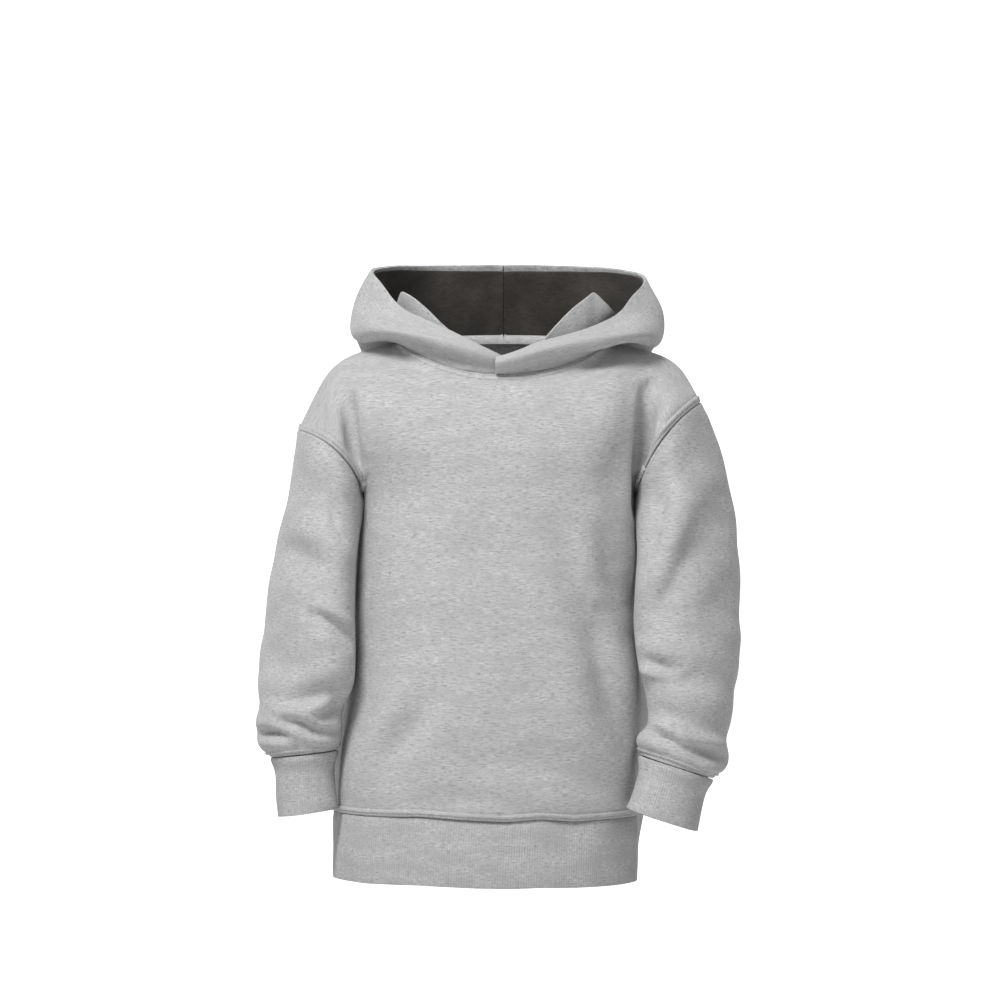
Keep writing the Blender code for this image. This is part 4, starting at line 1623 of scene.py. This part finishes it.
RIGHT_CUFF = (
    TubeSection(-170.5, -310.2, -124.8, -304.5, -30, 26.8, -4),
    TubeSection(-169.5, -331, -125, -326, -31, 25.5, -3),
    TubeSection(-168, -354.5, -122.8, -348, -32, 26, -3),
)
LEFT_CUFF = (
    TubeSection(157.6, -325.2, 106.3, -307.8, -50, 26.8, -4),
    TubeSection(152.5, -343, 101.5, -326, -56, 26, -4),
    TubeSection(147, -363.5, 93.5, -345, -62, 26, -4),
)
RIGHT_SLEEVE_FOLDS = (
    # A swelling that closes on the body just under the arm
    Fold(Elevation.WEARER_LEFT, ((-14, -106), (-20, -122), (-26, -142)), 12, -0.8, bank=0),
    Fold(Elevation.FRONT, ((-112, -220), (-124, -208), (-136, -202)), 5, 2.4, lean=0.3),
    Fold(Elevation.FRONT, ((-168, -150), (-150, -158), (-130, -168)), 12, 1.8, lean=-0.2),
    Fold(Elevation.FRONT, ((-164, -266), (-142, -264), (-120, -259)), 6, 1.9, lean=0.3),
    Fold(Elevation.FRONT, ((-164, -282), (-150, -283.5), (-138, -289), (-122, -290)), 3.4, 1.9),
    Fold(Elevation.FRONT, ((-134, -280), (-124, -272), (-118, -266)), 5, 1.6),
    Fold(Elevation.FRONT, ((-182, -293), (-172, -291), (-160, -293)), 3.5, 2.2),
    Fold(Elevation.FRONT, ((-176, -225), (-160, -240), (-138, -246)), 12, 1.2),
    Fold(Elevation.FRONT, ((-152, -92), (-140, -112), (-122, -128)), 12, 1.3),
    Fold(Elevation.FRONT, ((-132, -96), (-126, -120), (-118, -142)), 8, 1.4),
    Fold(Elevation.WEARER_RIGHT, ((-40, -150), (-8, -162), (28, -156)), 12, 0.3, lean=0.2),
    Fold(Elevation.WEARER_RIGHT, ((32, -206), (0, -216), (-38, -204)), 11, 0.3, lean=-0.3),
    Fold(Elevation.WEARER_RIGHT, ((-50, -262), (-20, -268), (14, -262)), 7, 0.4),
    Fold(Elevation.WEARER_RIGHT, ((-54, -286), (-28, -291), (6, -286)), 4.5, 0.4),
    Fold(Elevation.BACK, ((-116, -206), (-140, -214), (-168, -202)), 9, 2.6, lean=0.2),
    Fold(Elevation.BACK, ((-120, -228), (-142, -236), (-172, -232)), 9, 2.0),
    Fold(Elevation.BACK, ((-118, -262), (-142, -268), (-172, -262)), 7, 2.2),
    Fold(Elevation.BACK, ((-122, -288), (-144, -292), (-170, -286)), 5, 2.0),
    Fold(Elevation.BACK, ((-118, -130), (-136, -146), (-158, -150)), 12, 1.8),
)
LEFT_SLEEVE_FOLDS = (
    Fold(Elevation.WEARER_RIGHT, ((-14, -106), (-20, -120), (-26, -138)), 12, -0.5, bank=0),
    Fold(Elevation.FRONT, ((161, -116), (146, -150), (126, -186), (109, -206)), 14, 2.4, lean=0.25),
    Fold(Elevation.FRONT, ((106, -234), (118, -239), (129, -241)), 5, 2.2, lean=0.2),
    Fold(Elevation.FRONT, ((112, -256), (126, -250), (150, -252)), 9, 1.5),
    Fold(Elevation.FRONT, ((112, -289), (122, -293), (135, -300)), 4, 2.0),
    Fold(Elevation.FRONT, ((140, -300), (154, -305), (168, -309)), 4.5, 2.6),
    Fold(Elevation.FRONT, ((110, -272), (128, -276), (160, -288)), 8, 1.5, lean=0.2),
    Fold(Elevation.FRONT, ((176, -170), (160, -196), (136, -222)), 14, 1.3),
    Fold(Elevation.FRONT, ((118, -96), (116, -126), (112, -156)), 9, 1.8),
    Fold(Elevation.FRONT, ((150, -70), (140, -96), (124, -122)), 12, 1.2),
    Fold(Elevation.WEARER_LEFT, ((-42, -140), (-8, -150), (26, -142)), 13, 0.3),
    Fold(Elevation.WEARER_LEFT, ((-58, -190), (-20, -206), (22, -196)), 12, 0.4, lean=0.3),
    Fold(Elevation.WEARER_LEFT, ((-66, -250), (-36, -260), (2, -252)), 8, 0.4),
    Fold(Elevation.WEARER_LEFT, ((-76, -288), (-48, -296), (-14, -290)), 6, 0.4),
    Fold(Elevation.BACK, ((108, -196), (134, -206), (166, -192)), 10, 2.6, lean=-0.2),
    Fold(Elevation.BACK, ((110, -224), (136, -234), (170, -226)), 9, 2.0),
    Fold(Elevation.BACK, ((112, -262), (138, -272), (166, -268)), 8, 2.2),
    Fold(Elevation.BACK, ((112, -288), (136, -300), (160, -300)), 5, 2.2),
    Fold(Elevation.BACK, ((114, -124), (134, -142), (160, -140)), 12, 1.8),
)
RIGHT_HOOD = (
    HoodSection(-1, (51.5, -19.5), (53.5, -17), (55, -13.5), (53, -10)),
    HoodSection(14, (54.5, -14), (58, -12), (61, -8), (57.5, -3)),
    HoodSection(30, (58, -9), (64, -7.5), (68, -1.5), (62, 6)),
    HoodSection(55, (72, -0.5), (80, 1.5), (87, 8), (72, 20)),
    HoodSection(75, (88, 5), (98, 6), (106, 12), (84, 33)),
    HoodSection(92, (97, 4.5), (108, 4), (116, 11), (94, 49.5)),
    HoodSection(108, (97, 0), (111, -4), (119, 10), (104, 61.5)),
    HoodSection(140, (85, -18), (114, -74), (128, -30), (100, 65)),
    HoodSection(160, (81, -26), (114, -106), (131, -56), (91, 65.5)),
    HoodSection(180, (79, -30), (113, -116), (131, -66), (86, 65.5)),
)
LEFT_HOOD = (
    HoodSection(-6, (58, -19.5), (61, -17.5), (63, -14), (59.5, -9)),
    HoodSection(12, (58.5, -15.5), (62, -13.5), (65, -9), (60, -3.5)),
    HoodSection(30, (60, -10.5), (66, -8.5), (71, -2.5), (62, 4)),
    HoodSection(55, (75, -4), (86, -2.5), (92, 5.5), (76, 12.5)),
    HoodSection(75, (92, 2), (104, 1.5), (112, 8), (92, 28)),
    HoodSection(92, (103, 1.5), (113, -0.5), (120, 8), (101, 42)),
    HoodSection(108, (99, -1), (115, -6), (123, 10), (112, 56)),
    HoodSection(140, (85, -18), (114, -74), (128, -30), (103, 64)),
    HoodSection(160, (81, -26), (114, -106), (131, -56), (91, 65.5)),
    HoodSection(180, (79, -30), (113, -116), (131, -66), (86, 65.5)),
)
# Angle from the front, height and outward lean of the inner ply's edge
RIGHT_FACING = ((24, -7, 4), (40, 8, 4), (55, 23, 4), (66, 34, 4), (75, 39.5, 4), (79, 41, 4),
                (81, 38, 4.5), (86, 27, 6), (92, 16, 8))
LEFT_FACING = ((20, -8, 4), (35, 7, 4), (48, 22, 4), (58, 32, 4), (65, 38, 4), (68, 40, 4),
               (70.5, 37.5, 5), (76, 30, 8), (84, 22, 11))
RIGHT_HOOD_FOLDS = (
    Fold(Elevation.FRONT, ((-100, 34), (-80, 18), (-52, 2)), 7, 1.3),
    Fold(Elevation.FRONT, ((-108, 10), (-88, 8), (-66, 0)), 6, 0.9),
    Fold(Elevation.BACK, ((-20, 30), (-34, -10), (-52, -46)), 11, 2.2),
    Fold(Elevation.BACK, ((-66, 34), (-78, 2), (-84, -30)), 10, 1.8),
)
LEFT_HOOD_FOLDS = (
    Fold(Elevation.FRONT, ((104, 30), (86, 14), (58, 0)), 7, 1.2),
    Fold(Elevation.FRONT, ((114, 8), (94, 4), (72, -3)), 6, 0.9),
    Fold(Elevation.BACK, ((26, 26), (36, -14), (48, -52)), 11, 2.0),
    Fold(Elevation.BACK, ((70, 36), (84, 6), (88, -26)), 10, 1.8),
)


def main() -> None:
    """Build the garment piece by piece, then the studio."""
    logging.basicConfig(level=logging.INFO, format="%(name)s %(message)s")
    fleece, rib = HeatherFleece().build(), HeatherRib().build()
    # The charcoal jersey is painted shade for the inside of the hood
    jersey, thread = PaintedShadeJersey().build(), SpunThread().build()
    neck = NeckSeam()
    Body(fleece, thread, neck).build()
    Sleeve(RIGHT, fleece, thread, RIGHT_SLEEVE, RIGHT_SLEEVE_FOLDS, seed=31).build()
    Sleeve(LEFT, fleece, thread, LEFT_SLEEVE, LEFT_SLEEVE_FOLDS, seed=32).build()
    Cuff(RIGHT, rib, RIGHT_CUFF, seed=41).build()
    Cuff(LEFT, rib, LEFT_CUFF, seed=42).build()
    Waistband(rib).build()
    HoodHalf(RIGHT, fleece, jersey, neck, RIGHT_HOOD, RIGHT_FACING, RIGHT_HOOD_FOLDS,
             crossing_step=0.8, seed=51).build()
    HoodHalf(LEFT, fleece, jersey, neck, LEFT_HOOD, LEFT_FACING, LEFT_HOOD_FOLDS,
             crossing_step=6.0, seed=52).build()
    Studio(StudioPaper().build(), StudioPaper("lit_white_paper", glow=0.9).build()).build()


if __name__ == "__main__":
    main()
